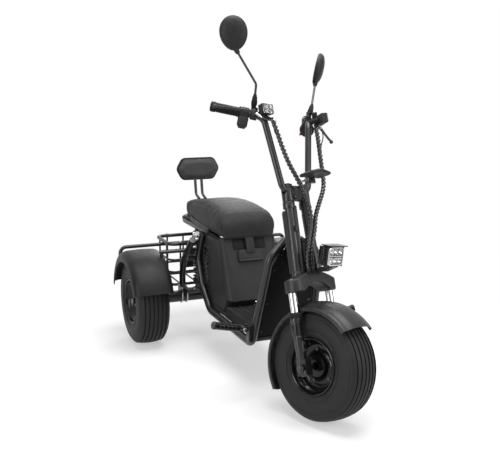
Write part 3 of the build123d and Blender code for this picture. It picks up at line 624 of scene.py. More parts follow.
# %% [markdown]
# ## The looms
# Two bundles of cable run from the controls on the bar, past the clamp, to the yoke. Each is
# wound in a black spiral wrap, a flat ribbon whose turns leave narrow slits. The bundle is one
# smooth NURBS curve through the route's points. The ribbon is a helix laid on points read back
# from that curve, so it follows every bend.

# %% Loom routes and cores
LOOM_R = 8.0
CORE_R = LOOM_R * 0.86 / 1000  # the bundle inside the wrap, in metres
LOOMS = [  # (name, length in metres, route in the fork frame)
    ("loom_right", 0.660, [
        (38, -117, 1024), (44, -110, 984), (47, -97, 920), (51, -74, 842), (55, -46, 788), (56, -25, 748),
        (56, -11, 711), (55, 3, 676), (54, 11, 645), (53, 13, 612), (51, 7, 577), (49, -6, 540),
        (47, -20, 503), (45, -33, 467), (44, -40, 432), (43, -42, 396)]),
    ("loom_left", 0.666, [
        (40, 150, 1020), (44, 148, 984), (46, 143, 930), (47, 139, 850), (48, 137, 780), (50, 124, 740),
        (52, 100, 706), (54, 74, 671), (55, 51, 638), (54, 36, 606), (53, 27, 571), (52, 13, 535),
        (50, -2, 500), (48, -13, 467), (46, -19, 432), (45, -19, 392)]),
]


def smooth_curve(name, route, radius, material):
    """An open NURBS curve with the route as its control points, in the scene's metres."""
    curve = bpy.data.curves.new(name, "CURVE")
    curve.dimensions = "3D"
    spline = curve.splines.new("NURBS")
    spline.points.add(len(route) - 1)
    for point, place in zip(spline.points, route):
        point.co = (*place, 1)
    spline.order_u = 3
    spline.use_endpoint_u = True
    spline.resolution_u = 12
    curve.materials.append(material)
    made = bpy.data.objects.new(name, curve)
    scene.collection.objects.link(made)
    line = bpy.data.meshes.new_from_object(made)
    run = [vertex.co.copy() for vertex in line.vertices]
    bpy.data.meshes.remove(line)
    curve.bevel_depth = radius
    curve.bevel_resolution = 4
    curve.use_fill_caps = True
    return made, run


loom_runs = {}
for name, length, route in LOOMS:
    route = [FORK @ Vector(point) for point in route]
    core, run = smooth_curve(name + "_core", route, CORE_R, WRAP)
    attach(core, "steering")
    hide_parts(name)
    loom_runs[name] = run

# %% Spiral wrap
TURN_PITCH, TURN_STEPS = 0.0175, 20


def even_points(run, gap):
    """Points along a run at equal gaps, with the run's direction at each."""
    placed, carried = [], 0.0
    for a, b in zip(run, run[1:]):
        span = (b - a).length
        while carried <= span and span > 0:
            placed.append((a.lerp(b, carried / span), (b - a) / span))
            carried += gap
        carried -= span
    return placed


def ribbon(bm, run, inner, outer, width):
    """A flat ribbon wound on a run: its section, crowned outside, carried round a helix."""
    side = None
    rings = []
    for i, (point, ahead) in enumerate(even_points(run, TURN_PITCH / TURN_STEPS)):
        if side is None:
            side = ahead.orthogonal().normalized()
        side = (side - ahead * side.dot(ahead)).normalized()
        other = ahead.cross(side)
        a = math.tau * i / TURN_STEPS
        out = side * math.cos(a) + other * math.sin(a)
        rings.append([point + out * r + ahead * h for r, h in (
            (inner, -width / 2), (outer * 0.93, -width / 2), (outer * 0.985, -width / 3), (outer, 0),
            (outer * 0.985, width / 3), (outer * 0.93, width / 2), (inner, width / 2))])
    skin(bm, rings)


for name, run in loom_runs.items():
    bm = bmesh.new()
    ribbon(bm, run, LOOM_R * 0.0008, LOOM_R * 0.00128, TURN_PITCH * 0.66)
    tell(piece(name + "_wrap", bm, Matrix(), "steering", WRAP, crease=50, weld=0))

# %% [markdown]
# ## Tyres
# The tyres are fat garden-machine tyres with straight ribs round the tread. A tyre is a turned
# thing, so its section is drawn once, grooves and sidewall rings included, and spun. Grooves
# made as bump would vanish in outline against the floor, so they are cut in the section.

# %% Ribbed tyres
TREAD_HALF = 62.0
GROOVE_PITCH = 22.0
GROOVE_DEPTH = 6.5
CROWN_DROP = 0.0019  # how fast the tread falls off to the sides
SIDEWALL = [  # (radius, half width) from the shoulder in to the bead
    (217, 67.5), (211, 72.5), (205, 76), (199.4, 77.4), (197.6, 80.4), (192.6, 81.2), (190.6, 78.8),
    (178, 82.2), (164, 84), (150, 83.4), (143, 81.4), (140.8, 84.2), (135.8, 83.8), (133.6, 80.2),
    (127, 77.4), (121, 73.8), (118, 70),
]


def crown(y):
    """The tread's radius across its width."""
    return TYRE_R - CROWN_DROP * y * y


def tyre_section():
    """The whole section, bead to bead, with a flat-bottomed groove between ribs."""
    tread = [(crown(TREAD_HALF), -TREAD_HALF)]
    for groove in range(-2, 4):
        y = (groove - 0.5) * GROOVE_PITCH
        floor_r = crown(y) - GROOVE_DEPTH
        tread += [(crown(y), y - 4.2), (floor_r, y - 2.8), (floor_r, y + 2.8), (crown(y), y + 4.2)]
    tread.append((crown(TREAD_HALF), TREAD_HALF))
    inner_side = [(r, -half) for r, half in reversed(SIDEWALL)]
    return inner_side + tread + SIDEWALL


def wheel_frame(centre):
    """X ahead, Y up and Z to the right of a wheel, at its middle."""
    return Matrix.Translation(centre) @ Matrix.Rotation(math.radians(90), 4, "X")


WHEELS = [  # (body, frame, centre)
    ("front_wheel", FORK, FRONT_HUB),
    ("rear_wheel_right", CHASSIS, (0, -HALF_TRACK, TYRE_R)),
    ("rear_wheel_left", CHASSIS, (0, HALF_TRACK, TYRE_R)),
]
for body, place, centre in WHEELS:
    bm = bmesh.new()
    lathe(bm, tyre_section(), wheel_frame(centre), 144, closed=True)
    tell(piece(body + "_ribbed_tyre", bm, place, body, TREAD, [body + "_tyre"]))

# %% [markdown]
# ## Rims
# Pressed steel rims, black, with a rolled lip, a deep dish and a hub drum in the middle. The dish
# is spun from its section; five wheel bolts and the valve stem are set round it. The gloss of the
# dish is what the photograph shows inside the front tyre.

# %% Dished rims
DISH = [  # (radius, half width) from the bead seat over the lip and in to the hub
    (117.6, 60), (118.6, 73), (117.5, 76.4), (114.5, 77.6), (111.6, 76.2), (110, 71), (108, 63),
    (103, 55), (97, 50), (94, 44), (92, 34), (88, 28), (80, 25), (70, 24), (60, 26), (52, 30),
    (49, 36), (47.5, 44), (44, 49), (36, 51), (24, 52.4), (17, 52.6), (17, 40),
]
WHEEL_BOLTS, BOLT_CIRCLE = 5, 69
for body, place, centre in WHEELS:
    at = wheel_frame(centre)
    bm = bmesh.new()
    lathe(bm, DISH + [(r, -half) for r, half in reversed(DISH)], at, 96, closed=True)
    stem_foot, stem_tip = at @ Vector((0, 101, 50)), at @ Vector((0, 92, 66))
    bar(bm, [stem_foot, stem_tip], [5, 3.6], 10)
    tell(piece(body + "_dished_rim", bm, place, body, GLOSS, [body + "_rim"]))
    bm = bmesh.new()
    for turn in range(WHEEL_BOLTS):
        a = math.tau * turn / WHEEL_BOLTS + 0.3
        for face in (-1, 1):
            spot = Vector((BOLT_CIRCLE * math.cos(a), BOLT_CIRCLE * math.sin(a), 23.6 * face))
            bolt(bm, at @ spot, at.to_3x3() @ Vector((0, 0, face)), 5.0)
    piece(body + "_wheel_bolts", bm, place, body, DARK_STEEL)
    print(body, WHEEL_BOLTS, "bolts a side")

# %% Front brake disc and its caliper
DISC_HOLES = 12
at = wheel_frame(FRONT_HUB)
bm = bmesh.new()
lathe(bm, [(50, -57), (88, -57), (88, -61), (50, -61)], at, 72, closed=True)
for hole in range(DISC_HOLES):
    a = math.tau * hole / DISC_HOLES
    spot = Vector((78 * math.cos(a), 78 * math.sin(a), -61))
    lathe(bm, [(0, 0), (4, 0), (4, -0.6), (0, -0.6)], at @ Matrix.Translation(spot), 12)
disc_part = piece("front_brake_disc", bm, FORK, "front_wheel", DARK_STEEL)
bm = bmesh.new()
block(bm, (-88, 66, 30), (-40, 92, 78), 6)
block(bm, (-46, 78, 36), (-12, 98, 62), 5)
bolt(bm, (-56, 92, 66), (0, 1, 0), 4)
bolt(bm, (-74, 92, 42), (0, 1, 0), 4)
caliper = on_fork("front_caliper", bm, PAINT)
print(disc_part.name, caliper.name)

# %% [markdown]
# ## Fenders
# The fenders are thin mouldings with a crowned section that turns down at both sides. The skin
# is swept round the wheel from its section and its inner copy, so it has a real thickness, and a
# rolled bead stiffens each skirt. The front one has a flange along each side of its crown.

# %% Front and rear fenders
FENDER_WALL, FENDER_STEPS = 3.2, 72


def fender(bm, section, at, first, last):
    """A crowned skin swept from first to last degrees about the Z of at, with a bead at each skirt."""
    outer = section + [(r, -h) for r, h in reversed(section) if h]
    inner = [(r - FENDER_WALL, h * (1 - FENDER_WALL / section[0][1])) for r, h in reversed(outer)]
    angles = [math.radians(first + (last - first) * i / FENDER_STEPS) for i in range(FENDER_STEPS + 1)]

    def swept(r, h, a):
        return at @ Vector((r * math.cos(a), r * math.sin(a), h))

    skin(bm, [[swept(r, h, a) for r, h in outer + inner] for a in angles])
    skirt_r, skirt_h = section[0]
    for sign in (-1, 1):
        bar(bm, [swept(skirt_r + 1, sign * (skirt_h - 1.4), a) for a in angles], 2.7, 8)


FRONT_SKIN = [(227, 91), (234, 91), (239, 88.5), (242, 84), (244, 77), (245.6, 70), (248.4, 64), (253.5, 57),
              (258, 47), (260.8, 33), (262.2, 17), (262.6, 0)]
bm = bmesh.new()
fender(bm, FRONT_SKIN, wheel_frame(FRONT_HUB), 30, 198)
for sign in (-1, 1):
    block(bm, (-15, sign * 87, 188), (15, sign * 93, 240), 2.4)
    block(bm, (-9, sign * 90, 196), (9, sign * 97, 212), 2)
tell(on_fork("front_fender_skin", bm, FENDER, ["front_fender"]))
bm = bmesh.new()
for sign in (-1, 1):
    for z in (222, 234):
        bolt(bm, (0, sign * 93, z), (0, sign, 0), 3.2)
on_fork("front_fender_bolts", bm, DARK_STEEL)

REAR_SKIN = [(215, 105), (228, 104.6), (240, 103), (251, 99), (259, 92), (264.5, 83), (268, 69),
             (269.6, 48), (270.6, 24), (271, 0)]
FENDER_Y = 424  # set a little out from the wheel's middle
# The rear fenders take the darker copy of the fender plastic: painted shade.
for side, sign in SIDES:
    bm = bmesh.new()
    fender(bm, REAR_SKIN, wheel_frame((0, sign * FENDER_Y, TYRE_R)), 20, 168)
    tell(on_frame(f"rear_fender_{side}_skin", bm, REAR_FENDER_SHADE, [f"rear_fender_{side}"]))

# %% [markdown]
# ## The seat
# Foam under stretched vinyl: a long saddle with a broad rounded nose, a lower pad behind it and
# a six-sided backrest. Each is lofted a little small from cross sections, given an even net by a
# voxel remesh, and blown up a few millimetres by the cloth solver under pressure, which rounds
# it as a stretched cover does. A cap keeps every point near its start so that the pads still
# clear their neighbours.

# %% Cross sections for pads
PAD_POINTS = 40


def pad_section(half, top, bottom, power):
    """A rounded section across the seat: (y, z) points from a superellipse, flatter below."""
    middle, points = (top + bottom) / 2, []
    for i in range(PAD_POINTS):
        a = math.tau * i / PAD_POINTS
        c, s = math.cos(a), math.sin(a)
        lift = (top - middle) if s > 0 else (middle - bottom)
        z = middle + lift * soft(s, 2 / (power if s > 0 else 8))
        points.append((half * soft(c, 2 / power), z))
    return points


def foam(name, rings):
    """A pad's mesh, skinned over its sections."""
    bm = bmesh.new()
    skin(bm, rings)
    bmesh.ops.recalc_face_normals(bm, faces=bm.faces)
    mesh = bpy.data.meshes.new(name)
    bm.to_mesh(mesh)
    bm.free()
    return mesh


def lofted(stations, power):
    """Rings across the seat from (x, half width, top, bottom)."""
    return [[(x, y, z) for y, z in pad_section(half, top, bottom, power)]
            for x, half, top, bottom in stations]


SADDLE_STATIONS = [  # (x, half width, top, bottom) from the tail to the nose
    (-146, 102, 702, 648), (-140, 114, 714, 642), (-116, 121, 724, 638), (-60, 127, 737, 633),
    (10, 133, 750, 628), (90, 139, 759, 624), (170, 145, 763, 621), (250, 148, 761, 619),
    (320, 150, 755, 618), (372, 150, 746, 618), (408, 149, 735, 618), (434, 146, 720, 616),
    (450, 138, 704, 610), (457, 122, 689, 614), (460, 101, 674, 622),
]
saddle_mesh = foam("saddle_foam", lofted(SADDLE_STATIONS, 3.3))
print("saddle foam:", len(SADDLE_STATIONS), "sections")

# %% Rear pad and backrest foam
REAR_STATIONS = [  # (x, half width, top, bottom)
    (-284, 58, 690, 646), (-280, 76, 702, 636), (-268, 88, 710, 631), (-240, 93, 713, 630),
    (-204, 93, 713, 630), (-178, 89, 709, 632), (-164, 78, 700, 637), (-159, 60, 688, 647),
]
rear_mesh = foam("rear_foam", lofted(REAR_STATIONS, 3.2))

BACKREST_AT = Vector((-312, 0, 878))
BACK_Y, BACK_Z, CORNER_CUT, CORNER_STEPS = 131, 64, 22, 7
HEXAGON = [  # (y, z) from its middle
    (BACK_Y, 0), (95, BACK_Z), (-95, BACK_Z), (-BACK_Y, 0), (-95, -BACK_Z), (95, -BACK_Z)]


def hexagon_ring(depth, inset):
    """The backrest's outline at a depth, drawn in by inset, its corners rounded."""
    ring = []
    for i, (y, z) in enumerate(HEXAGON):
        corner = Vector((y, z))
        before, after = Vector(HEXAGON[i - 1]), Vector(HEXAGON[(i + 1) % len(HEXAGON)])
        first = corner + (before - corner).normalized() * CORNER_CUT
        last = corner + (after - corner).normalized() * CORNER_CUT
        for k in range(CORNER_STEPS + 1):
            t = k / CORNER_STEPS
            point = first * (1 - t) ** 2 + corner * 2 * t * (1 - t) + last * t * t
            ring.append((BACKREST_AT.x + depth, point.x * (1 - inset / BACK_Y),
                         BACKREST_AT.z + point.y * (1 - inset / BACK_Z)))
    return ring


backrest_mesh = foam("backrest_foam", [hexagon_ring(depth, inset) for depth, inset in (
    (-4, 12), (0, 8), (6, 6), (10, 8), (12, 14), (13, 18), (17, 19), (20, 22), (22, 30))])
print("rear pad and backrest foam drawn")

# %% Blow the covers up
BLOW_FRAMES = 20
PADS = [  # (name, foam, voxel mm, pressure, most a point may move in mm, stands for, fill)
    ("saddle_cover", saddle_mesh, 6.0, 4.0, 5.0, "saddle", 0.8),
    ("rear_pad_cover", rear_mesh, 5.0, 4.0, 4.0, "rear_pad", 0.8),
    ("backrest_cover", backrest_mesh, 4.0, 3.0, 2.0, "backrest_pad", 0.9),
]


def even_net(form, voxel):
    """A voxel remesh of a pad, applied, so that its net is even for the solver."""
    remesh = form.modifiers.new("net", "REMESH")
    remesh.mode = "VOXEL"
    remesh.voxel_size = voxel / 1000
    baked = bpy.data.meshes.new_from_object(form.evaluated_get(bpy.context.evaluated_depsgraph_get()))
    form.modifiers.clear()
    form.data = baked


def blow_up(form, pressure, cap):
    """Cloth under pressure for a few frames; points are held within cap of where they began."""
    start = [vertex.co.copy() for vertex in form.data.vertices]
    cloth = form.modifiers.new("cover", "CLOTH")
    cloth.settings.use_pressure = True
    cloth.settings.uniform_pressure_force = pressure
    cloth.settings.effector_weights.gravity = 0
    cloth.settings.quality = 5
    for number in range(1, BLOW_FRAMES + 1):
        scene.frame_set(number)
    swollen = form.evaluated_get(bpy.context.evaluated_depsgraph_get())
    ends = [vertex.co.copy() for vertex in swollen.data.vertices]
    form.modifiers.clear()
    scene.frame_set(1)
    for vertex, before, after in zip(form.data.vertices, start, ends):
        move = after - before
        vertex.co = before + move * min(1.0, cap / 1000 / max(move.length, 1e-9))
    return max((after - before).length for before, after in zip(start, ends))


covers = {}
for name, pad, voxel, pressure, cap, node, fill in PADS:
    pad.transform(CHASSIS)
    cover = bpy.data.objects.new(name, pad)
    scene.collection.objects.link(cover)
    even_net(cover, voxel)
    moved = blow_up(cover, pressure, cap)
    smooth = cover.modifiers.new("settle", "SMOOTH")
    smooth.iterations = 6
    smooth.factor = 0.5
    cover.modifiers.new("fine", "SUBSURF").render_levels = 1
    cover.data.shade_smooth()
    cover.data.materials.append(BACK_VINYL if node == "backrest_pad" else VINYL)
    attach(cover, "seat")
    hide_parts(node)
    covers[name] = cover
    print(name, len(cover.data.polygons), "faces, swelled up to", round(moved * 1000, 1), "mm")

# %% Base shell under the saddle
BASE_STATIONS = [(-262, 84), (-166, 92), (-140, 106), (-60, 118), (90, 129), (232, 134)]  # (x, half width)
bm = bmesh.new()
skin(bm, [[(x, half, 640), (x, half, 613), (x, half - 5, 607.6), (x, 5 - half, 607.6), (x, -half, 613),
           (x, -half, 640)] for x, half in BASE_STATIONS])
tell(piece("seat_base_shell", bm, CHASSIS, "seat", PLASTIC))

# %% [markdown]
# ## Seams
# The saddle's cover is sewn from one long panel, over the top and down the nose, and two sides. A
# seam runs along each shoulder and down the front corner, and one more closes the foot. Each
# line is drawn from the side and dropped on the finished cover, so piping and stitches lie on
# the vinyl whatever the solver did.

# %% Piping and stitches
PIPING_R, STITCH = 0.0016, 0.006  # metres


def surface_of(cover):
    """A search tree over a cover as it is rendered, modifiers included."""
    shape = cover.evaluated_get(bpy.context.evaluated_depsgraph_get())
    mesh = bpy.data.meshes.new_from_object(shape)
    tree = BVHTree.FromPolygons([v.co.copy() for v in mesh.vertices], [p.vertices[:] for p in mesh.polygons])
    bpy.data.meshes.remove(mesh)
    return tree


def laid_on(tree, path, lift):
    """Points of a path carried to the nearest place on a cover, with the outward normal there."""
    run = []
    for point in path:
        spot, normal, *_ = tree.find_nearest(CHASSIS @ Vector(point))
        run.append((spot + normal * lift, normal))
    return run


def seam(name, cover, path):
    """Piping sunk in a cover along a path, with a row of stitches beside it."""
    run = laid_on(surface_of(cover), rounded(path, 10), 0.0004)
    bm = bmesh.new()
    bar(bm, [spot for spot, normal in run], PIPING_R, 8)
    piece(name + "_piping", bm, Matrix(), "seat", VINYL)
    bm = bmesh.new()
    placed = even_points([spot for spot, normal in run], STITCH)
    normals = [normal for spot, normal in run]
    for i, (spot, ahead) in enumerate(placed[1:-1]):
        normal = normals[min(len(normals) - 1, int(i / len(placed) * len(normals)))]
        beside = ahead.cross(normal).normalized() * 0.0045
        half = ahead * STITCH * 0.32
        spot = spot + beside
        bar(bm, [spot - half, spot + normal * 0.0004, spot + half], 0.0006, 5)
    piece(name + "_stitches", bm, Matrix(), "seat", THREAD)
    return len(placed)


TOP_SEAM = [(-132, 92, 716), (-40, 106, 734), (100, 119, 752), (220, 126, 754), (310, 130, 744),
            (372, 132, 733), (408, 133, 718), (428, 134, 694), (434, 134, 652)]
BASE_SEAM = [(-120, 122, 650), (20, 136, 638), (180, 146, 632), (330, 149, 630), (420, 143, 630),
             (455, 112, 634), (462, 0, 638)]
count = 0
for side, sign in SIDES:
    count += seam("saddle_seam_" + side, covers["saddle_cover"], [(x, sign * y, z) for x, y, z in TOP_SEAM])
base_half = [(x, -y, z) for x, y, z in BASE_SEAM]
count += seam("saddle_base", covers["saddle_cover"], base_half + BASE_SEAM[-2::-1])
PAD_SEAM = [(-280, 0, 700), (-276, -72, 700), (-220, -92, 702), (-168, -80, 700), (-160, 0, 700),
            (-168, 80, 700), (-220, 92, 702), (-276, 72, 700), (-280, 0, 700)]
count += seam("rear_pad_seam", covers["rear_pad_cover"], PAD_SEAM)
print("seams with", count, "stitches")

# %% Backrest shell
bm = bmesh.new()
skin(bm, [hexagon_ring(depth, inset) for depth, inset in (
    (-24, 20), (-22, 10), (-16, 3), (-8, 0), (-2, 0), (0, 2), (0, 9), (-6, 12))])
tell(piece("backrest_shell", bm, CHASSIS, "seat", PLASTIC, crease=50))
bm = bmesh.new()
for sign in (-1, 1):
    block(bm, (-342, sign * 19 - 14, 826), (-332, sign * 19 + 14, 866), 3)
    for z in (834, 856):
        bolt(bm, (-342, sign * 19, z), (-1, 0, 0), 3)
piece("backrest_plates", bm, CHASSIS, "seat", PAINT)

# %% [markdown]
# ## The bar's own frame
# Everything on the handlebar sits along one slanting line, mirrored left and right. A matrix for
# each side, x ahead, y out along the grip and z up, lets the controls be drawn once, straight.

# %% Bar frames
BAR_TOP, BAR_END = Vector((8, 140, 1050)), Vector((-136, 300, 1128))
outward = (BAR_END - BAR_TOP).normalized()
ahead = outward.cross(Vector((0, 0, 1))).normalized()
above = ahead.cross(outward)
left_bar = Matrix((
    (ahead.x, outward.x, above.x, BAR_TOP.x), (ahead.y, outward.y, above.y, BAR_TOP.y),
    (ahead.z, outward.z, above.z, BAR_TOP.z), (0, 0, 0, 1)))
BAR = {1: left_bar, -1: Matrix.Diagonal((1, -1, 1, 1)) @ left_bar}
OUT = Matrix.Rotation(math.radians(-90), 4, "X")
print("grip line", tuple(outward))

# %% [markdown]
# ## Grips
# Soft grips with rings moulded round them, a flange at the inner end and a plug at the outer.
# They are turned shapes, so the ring pattern goes in the section.

# %% Ringed grips
GRIP_RINGS = 13
GRIP = [(14.2, 100), (24, 100), (25.5, 102), (25.5, 105), (22.5, 107), (20.2, 108)]
for ring in range(GRIP_RINGS):
    h = 110 + ring * 7.2
    GRIP += [(20.4, h), (20.6, h + 2), (20.4, h + 4), (18.6, h + 4.8), (18.6, h + 6.2)]
GRIP += [(20.4, 205), (21.6, 208), (21.8, 220), (20.6, 226), (17, 228), (0, 228.4)]
bm = bmesh.new()
for sign in (-1, 1):
    lathe(bm, GRIP, BAR[sign] @ OUT, 40)
grip_pair = on_fork("ringed_grips", bm, RUBBER, ["grips"])
tell(grip_pair)

# %% [markdown]
# ## Switches and perches
# Inside each grip sits a split switch pod, and inside that the clamp that carries lever, mirror
# and cable. They are moulded or cast with rounded edges, so they are built from turned rings and
# rounded blocks rather than cut from one solid, each with its split line and screws.

# %% Switch pods and lever perches
POD = [(14.2, 64), (23, 64), (25.6, 66), (26.4, 72), (26.4, 80.2), (25.4, 81), (26.4, 81.8),
       (26.4, 92), (25, 97), (22, 98.6), (14.2, 98.6)]
PERCH = [(14.2, 28), (19, 28), (20.6, 30), (20.6, 54), (19, 56), (14.2, 56)]
bm = bmesh.new()
for sign in (-1, 1):
    at = BAR[sign]
    lathe(bm, POD, at @ OUT, 36)
    lathe(bm, PERCH, at @ OUT, 32)
    block(bm, (6, 33, -10), (40, 51, 12), 4, at)
    block(bm, (-25, 36, -8), (-8, 48, 8), 3, at)
    lathe(bm, [(0, 0), (11, 0), (12, 2), (12, 16), (10, 18), (0, 18)],
          at @ Matrix.Translation((2, 41, 14)), 24)
at = BAR[-1]
block(bm, (-20, 60, -58), (18, 104, -14), 8, at)
block(bm, (-14, 66, -65), (12, 98, -54), 5, at)
at = BAR[1]
lathe(bm, [(0, 60), (28, 60), (31.6, 63), (33, 68), (33, 79), (31.8, 80), (33, 81), (33, 92), (31, 97),
           (27, 99), (0, 99)], at @ Matrix.Translation((-8, 0, -33)) @ OUT, 40)
block(bm, (14, 62, -10), (38, 92, 16), 5, at)
block(bm, (22, 20, 12), (46, 46, 44), 4, at)
block(bm, (40, 24, -22), (62, 44, 2), 4, at)
pods = on_fork("switch_pods", bm, PLASTIC, ["bar_controls"])
bm = bmesh.new()
for at in (BAR[-1], BAR[1]):
    for spot, along, size in (
            ((-14, 70, -22), (-0.5, 0, -0.85), 2.0), ((-14, 92, -22), (-0.5, 0, -0.85), 2.0),
            ((-25, 42, 0), (-1, 0, 0), 2.6), ((24, 42, 12), (0, 0, 1), 3.4)):
        bolt(bm, at @ Vector(spot), at.to_3x3() @ Vector(along), size)
on_fork("switch_screws", bm, DARK_STEEL)
bm = bmesh.new()
block(bm, (-45, 72, -54), (-32, 86, -42), 2.5, BAR[1])
on_fork("red_button", bm, RED_CAP)
tell(pods)

# %% [markdown]
# ## Brake levers
# Cast alloy blades, flattened where the fingers pull and ending in a ball. A swept bar whose
# radius changes along its run and which is thinned one way gives the blade.

# %% Lever blades and cable adjusters
LEVERS = [  # (side, root, elbow, middle and tip in the bar's frame)
    (-1, (42, 43, 0), (58, 66, -3), (57, 130, -7), (52, 206, -12)),
    (1, (42, 43, -14), (60, 68, -46), (78, 104, -80), (97, 137, -111)),
]
bm = bmesh.new()
for sign, root, elbow, middle, tip in LEVERS:
    run = rounded([BAR[sign] @ Vector(p) for p in (root, elbow, middle, tip)], 8)
    radii = [9.0 - 3.4 * min(1.0, i / 10) for i in range(len(run) - 3)] + [5.8, 6.4, 6.0]
    bar(bm, run, radii, 14, 0.62)
    end = BAR[sign] @ Vector(tip)
    bmesh.ops.create_uvsphere(bm, u_segments=18, v_segments=12, radius=9,
                              matrix=Matrix.Translation(end))
    lathe(bm, [(0, -12), (8, -12), (9, -10), (9, 10), (8, 12), (0, 12)],
          BAR[sign] @ Matrix.Translation(root), 20)
levers = on_fork("lever_blades", bm, LEVER, ["brake_levers"])

ADJUSTER = [(0, 0), (5.5, 0), (6.5, 1), (6.5, 9), (4.6, 10), (4.6, 14), (6, 15), (6, 22), (3.2, 25),
            (3.2, 34), (0, 34)]
ADJUSTER_FOOT = Vector((46, 32, -4))
ADJUSTER_AIM = {-1: Vector((0.35, -0.80, -0.45)), 1: Vector((0.25, -0.30, -0.92))}
bm = bmesh.new()
for sign, aim in ADJUSTER_AIM.items():
    lathe(bm, ADJUSTER, axis_frame(BAR[sign] @ ADJUSTER_FOOT, BAR[sign].to_3x3() @ aim), 16)
adjusters = on_fork("cable_adjusters", bm, ZINC)
print(levers.name, adjusters.name)

# %% [markdown]
# ## Mirrors
# Each head is a rounded egg of black plastic with the glass behind. The shell is drawn as ovals
# that shrink as they go forward, like a bowl; a socket below takes the stalk, and a nut and
# rubber boot stand at the stalk's foot.

# %% Mirror heads
MIRRORS = [  # (side, foot of the stalk, its bend, its top, middle of the head)
    (-1, (-14, -172, 1082), (38, -186, 1180), (19, -259, 1333), (30, -268, 1394)),
    (1, (-14, 172, 1082), (0, 190, 1136), (-11, 259, 1269), (0, 268, 1330)),
]
MIRROR_TURN, MIRROR_TILT = math.radians(40), math.radians(22)
MIRROR_SECTIONS = [(-1, 0.955), (-3, 0.985), (-2, 1.0), (3, 1.015), (8, 1.0)]  # (depth, share of the width)
for i in range(1, 12):
    a = math.radians(90 * i / 12)
    MIRROR_SECTIONS.append((8 + 25 * math.sin(a), math.cos(a) ** 0.82))
bm = bmesh.new()
boots = bmesh.new()
for sign, foot, bend, top, middle in MIRRORS:
    face = Matrix.Translation(middle) @ Matrix.Rotation(sign * MIRROR_TURN, 4, "Z")
    face = face @ Matrix.Rotation(MIRROR_TILT, 4, "Y")
    ovals = []
    for depth, width in MIRROR_SECTIONS:
        oval = []
        for j in range(48):
            b = math.tau * j / 48
            egg = 1 + 0.07 * math.sin(b)
            oval.append(face @ Vector((depth, 58 * width * egg * math.cos(b), 71 * width * math.sin(b))))
        ovals.append(oval)
    skin(bm, ovals)
    stalk = (Vector(top) - Vector(bend)).normalized()
    socket = axis_frame(Vector(top) - stalk * 26, stalk)
    lathe(bm, [(0, 0), (7, 0), (9, 4), (11, 12), (11, 26), (0, 26)], socket, 20)
    seat_at = axis_frame(foot, Vector(bend) - Vector(foot))
    lathe(boots, [(0, -10), (11, -10), (12, -8), (12, 6), (9.6, 9), (9.6, 22), (12, 25), (12.6, 27),
                  (12.6, 42), (11, 46), (10.4, 58), (8, 62), (7.4, 68), (5.2, 71), (0, 71)], seat_at, 24)
shells = on_fork("mirror_heads", bm, PLASTIC, ["mirror_shells"], crease=60)
on_fork("mirror_boots", boots, RUBBER)
tell(shells)

# %% [markdown]
# ## Turn lamps and display
# The turn lamps are small boxes with a faceted silver bowl and a bulb behind a clear lens. The
# display is a flat cowl, thickest in the middle, with a dark screen on top and its switch under
# it on a bright bracket.

# %% Turn lamps
TURN_LAMPS = [(-1, 26, 154, 1072, 0), (1, 58, 156, 1056, 70)]  # (side, x, y and z of its back, turn)
bodies, bowls, lenses, bulbs = (bmesh.new() for _ in range(4))
for sign, x, y, z, turn in TURN_LAMPS:
    at = Matrix.Translation((x, sign * y, z)) @ Matrix.Rotation(math.radians(turn), 4, "Z")
    block(bodies, (0, -30, -21), (18, 30, 21), 4, at)
    walls(bodies, at, (17, 28), (30, 21), (4, 4), 1.5)
    bar(bodies, [(2, sign * 146, z), (x + 2, sign * y, z)], 8, 20)
    for column in (-1, 1):
        for row in (-1, 1):
            skin(bowls, [[at @ Vector((depth, column * 13 + 12.6 * half * a, row * 8.6 + 8 * half * b))
                          for a, b in SQUARE] for depth, half in ((27, 1.0), (22, 0.62), (19, 0.3))],
                 capped=False)
    bmesh.ops.create_uvsphere(bulbs, u_segments=16, v_segments=10, radius=5,
                              matrix=at @ Matrix.Translation((23, 0, 0)))
    block(lenses, (27.5, -29, -20), (32, 29, 20), 1.8, at)
on_fork("turn_lamp_boxes", bodies, PLASTIC, ["turn_lamp_bodies"])
on_fork("turn_lamp_bowls", bowls, REFLECTOR, crease=20)
on_fork("turn_lamp_bulbs", bulbs, BULB)
on_fork("turn_lamp_glass", lenses, CLEAR, ["turn_lamp_lenses"])
print("turn lamps:", len(TURN_LAMPS))

# %% Display cowl
COWL_FROM, COWL_WIDE, COWL_Z, KEY_AT = -50, 116, 782, Matrix.Translation((92, 8, 750))
bm = bmesh.new()
rings = []
shares = [0.0, 0.012, 0.04] + [0.1 + 0.05 * i for i in range(17)] + [0.96, 0.988, 1.0]
for share in shares:
    y = COWL_FROM + COWL_WIDE * share
    ridge = 1 - abs(2 * share - 1)
    end = min(1.0, 0.62 + 9.5 * min(share, 1 - share))
    length, thick = (40 + 8 * ridge) * end, (8 + 3.5 * ridge) * end
    ring = []
    for j in range(28):
        a = math.tau * j / 28
        c, s = math.cos(a), math.sin(a)
        ring.append((115 + length * soft(c, 0.45), y, COWL_Z + 8 * ridge + thick * soft(s, 0.7)))
    rings.append(ring)
skin(bm, rings)
lathe(bm, [(0, 0), (14, 0), (15, 3), (15, 16), (13, 20), (13, 26), (0, 26)], KEY_AT, 24)
cowl = on_fork("display_cowl", bm, PLASTIC, ["display"], crease=60)
bm = bmesh.new()
for low, high in ((-34, 7.2), (8.8, 50)):
    rings = []
    for y in (low, high):
        top = COWL_Z + 11.5 * (1 - abs(2 * (y - COWL_FROM) / COWL_WIDE - 1)) + 8
        rings.append([(92, y, top - 2), (138, y, top - 2), (138, y, top + 0.9), (92, y, top + 0.9)])
    skin(bm, rings)
on_fork("display_screen", bm, SCREEN)
bm = bmesh.new()
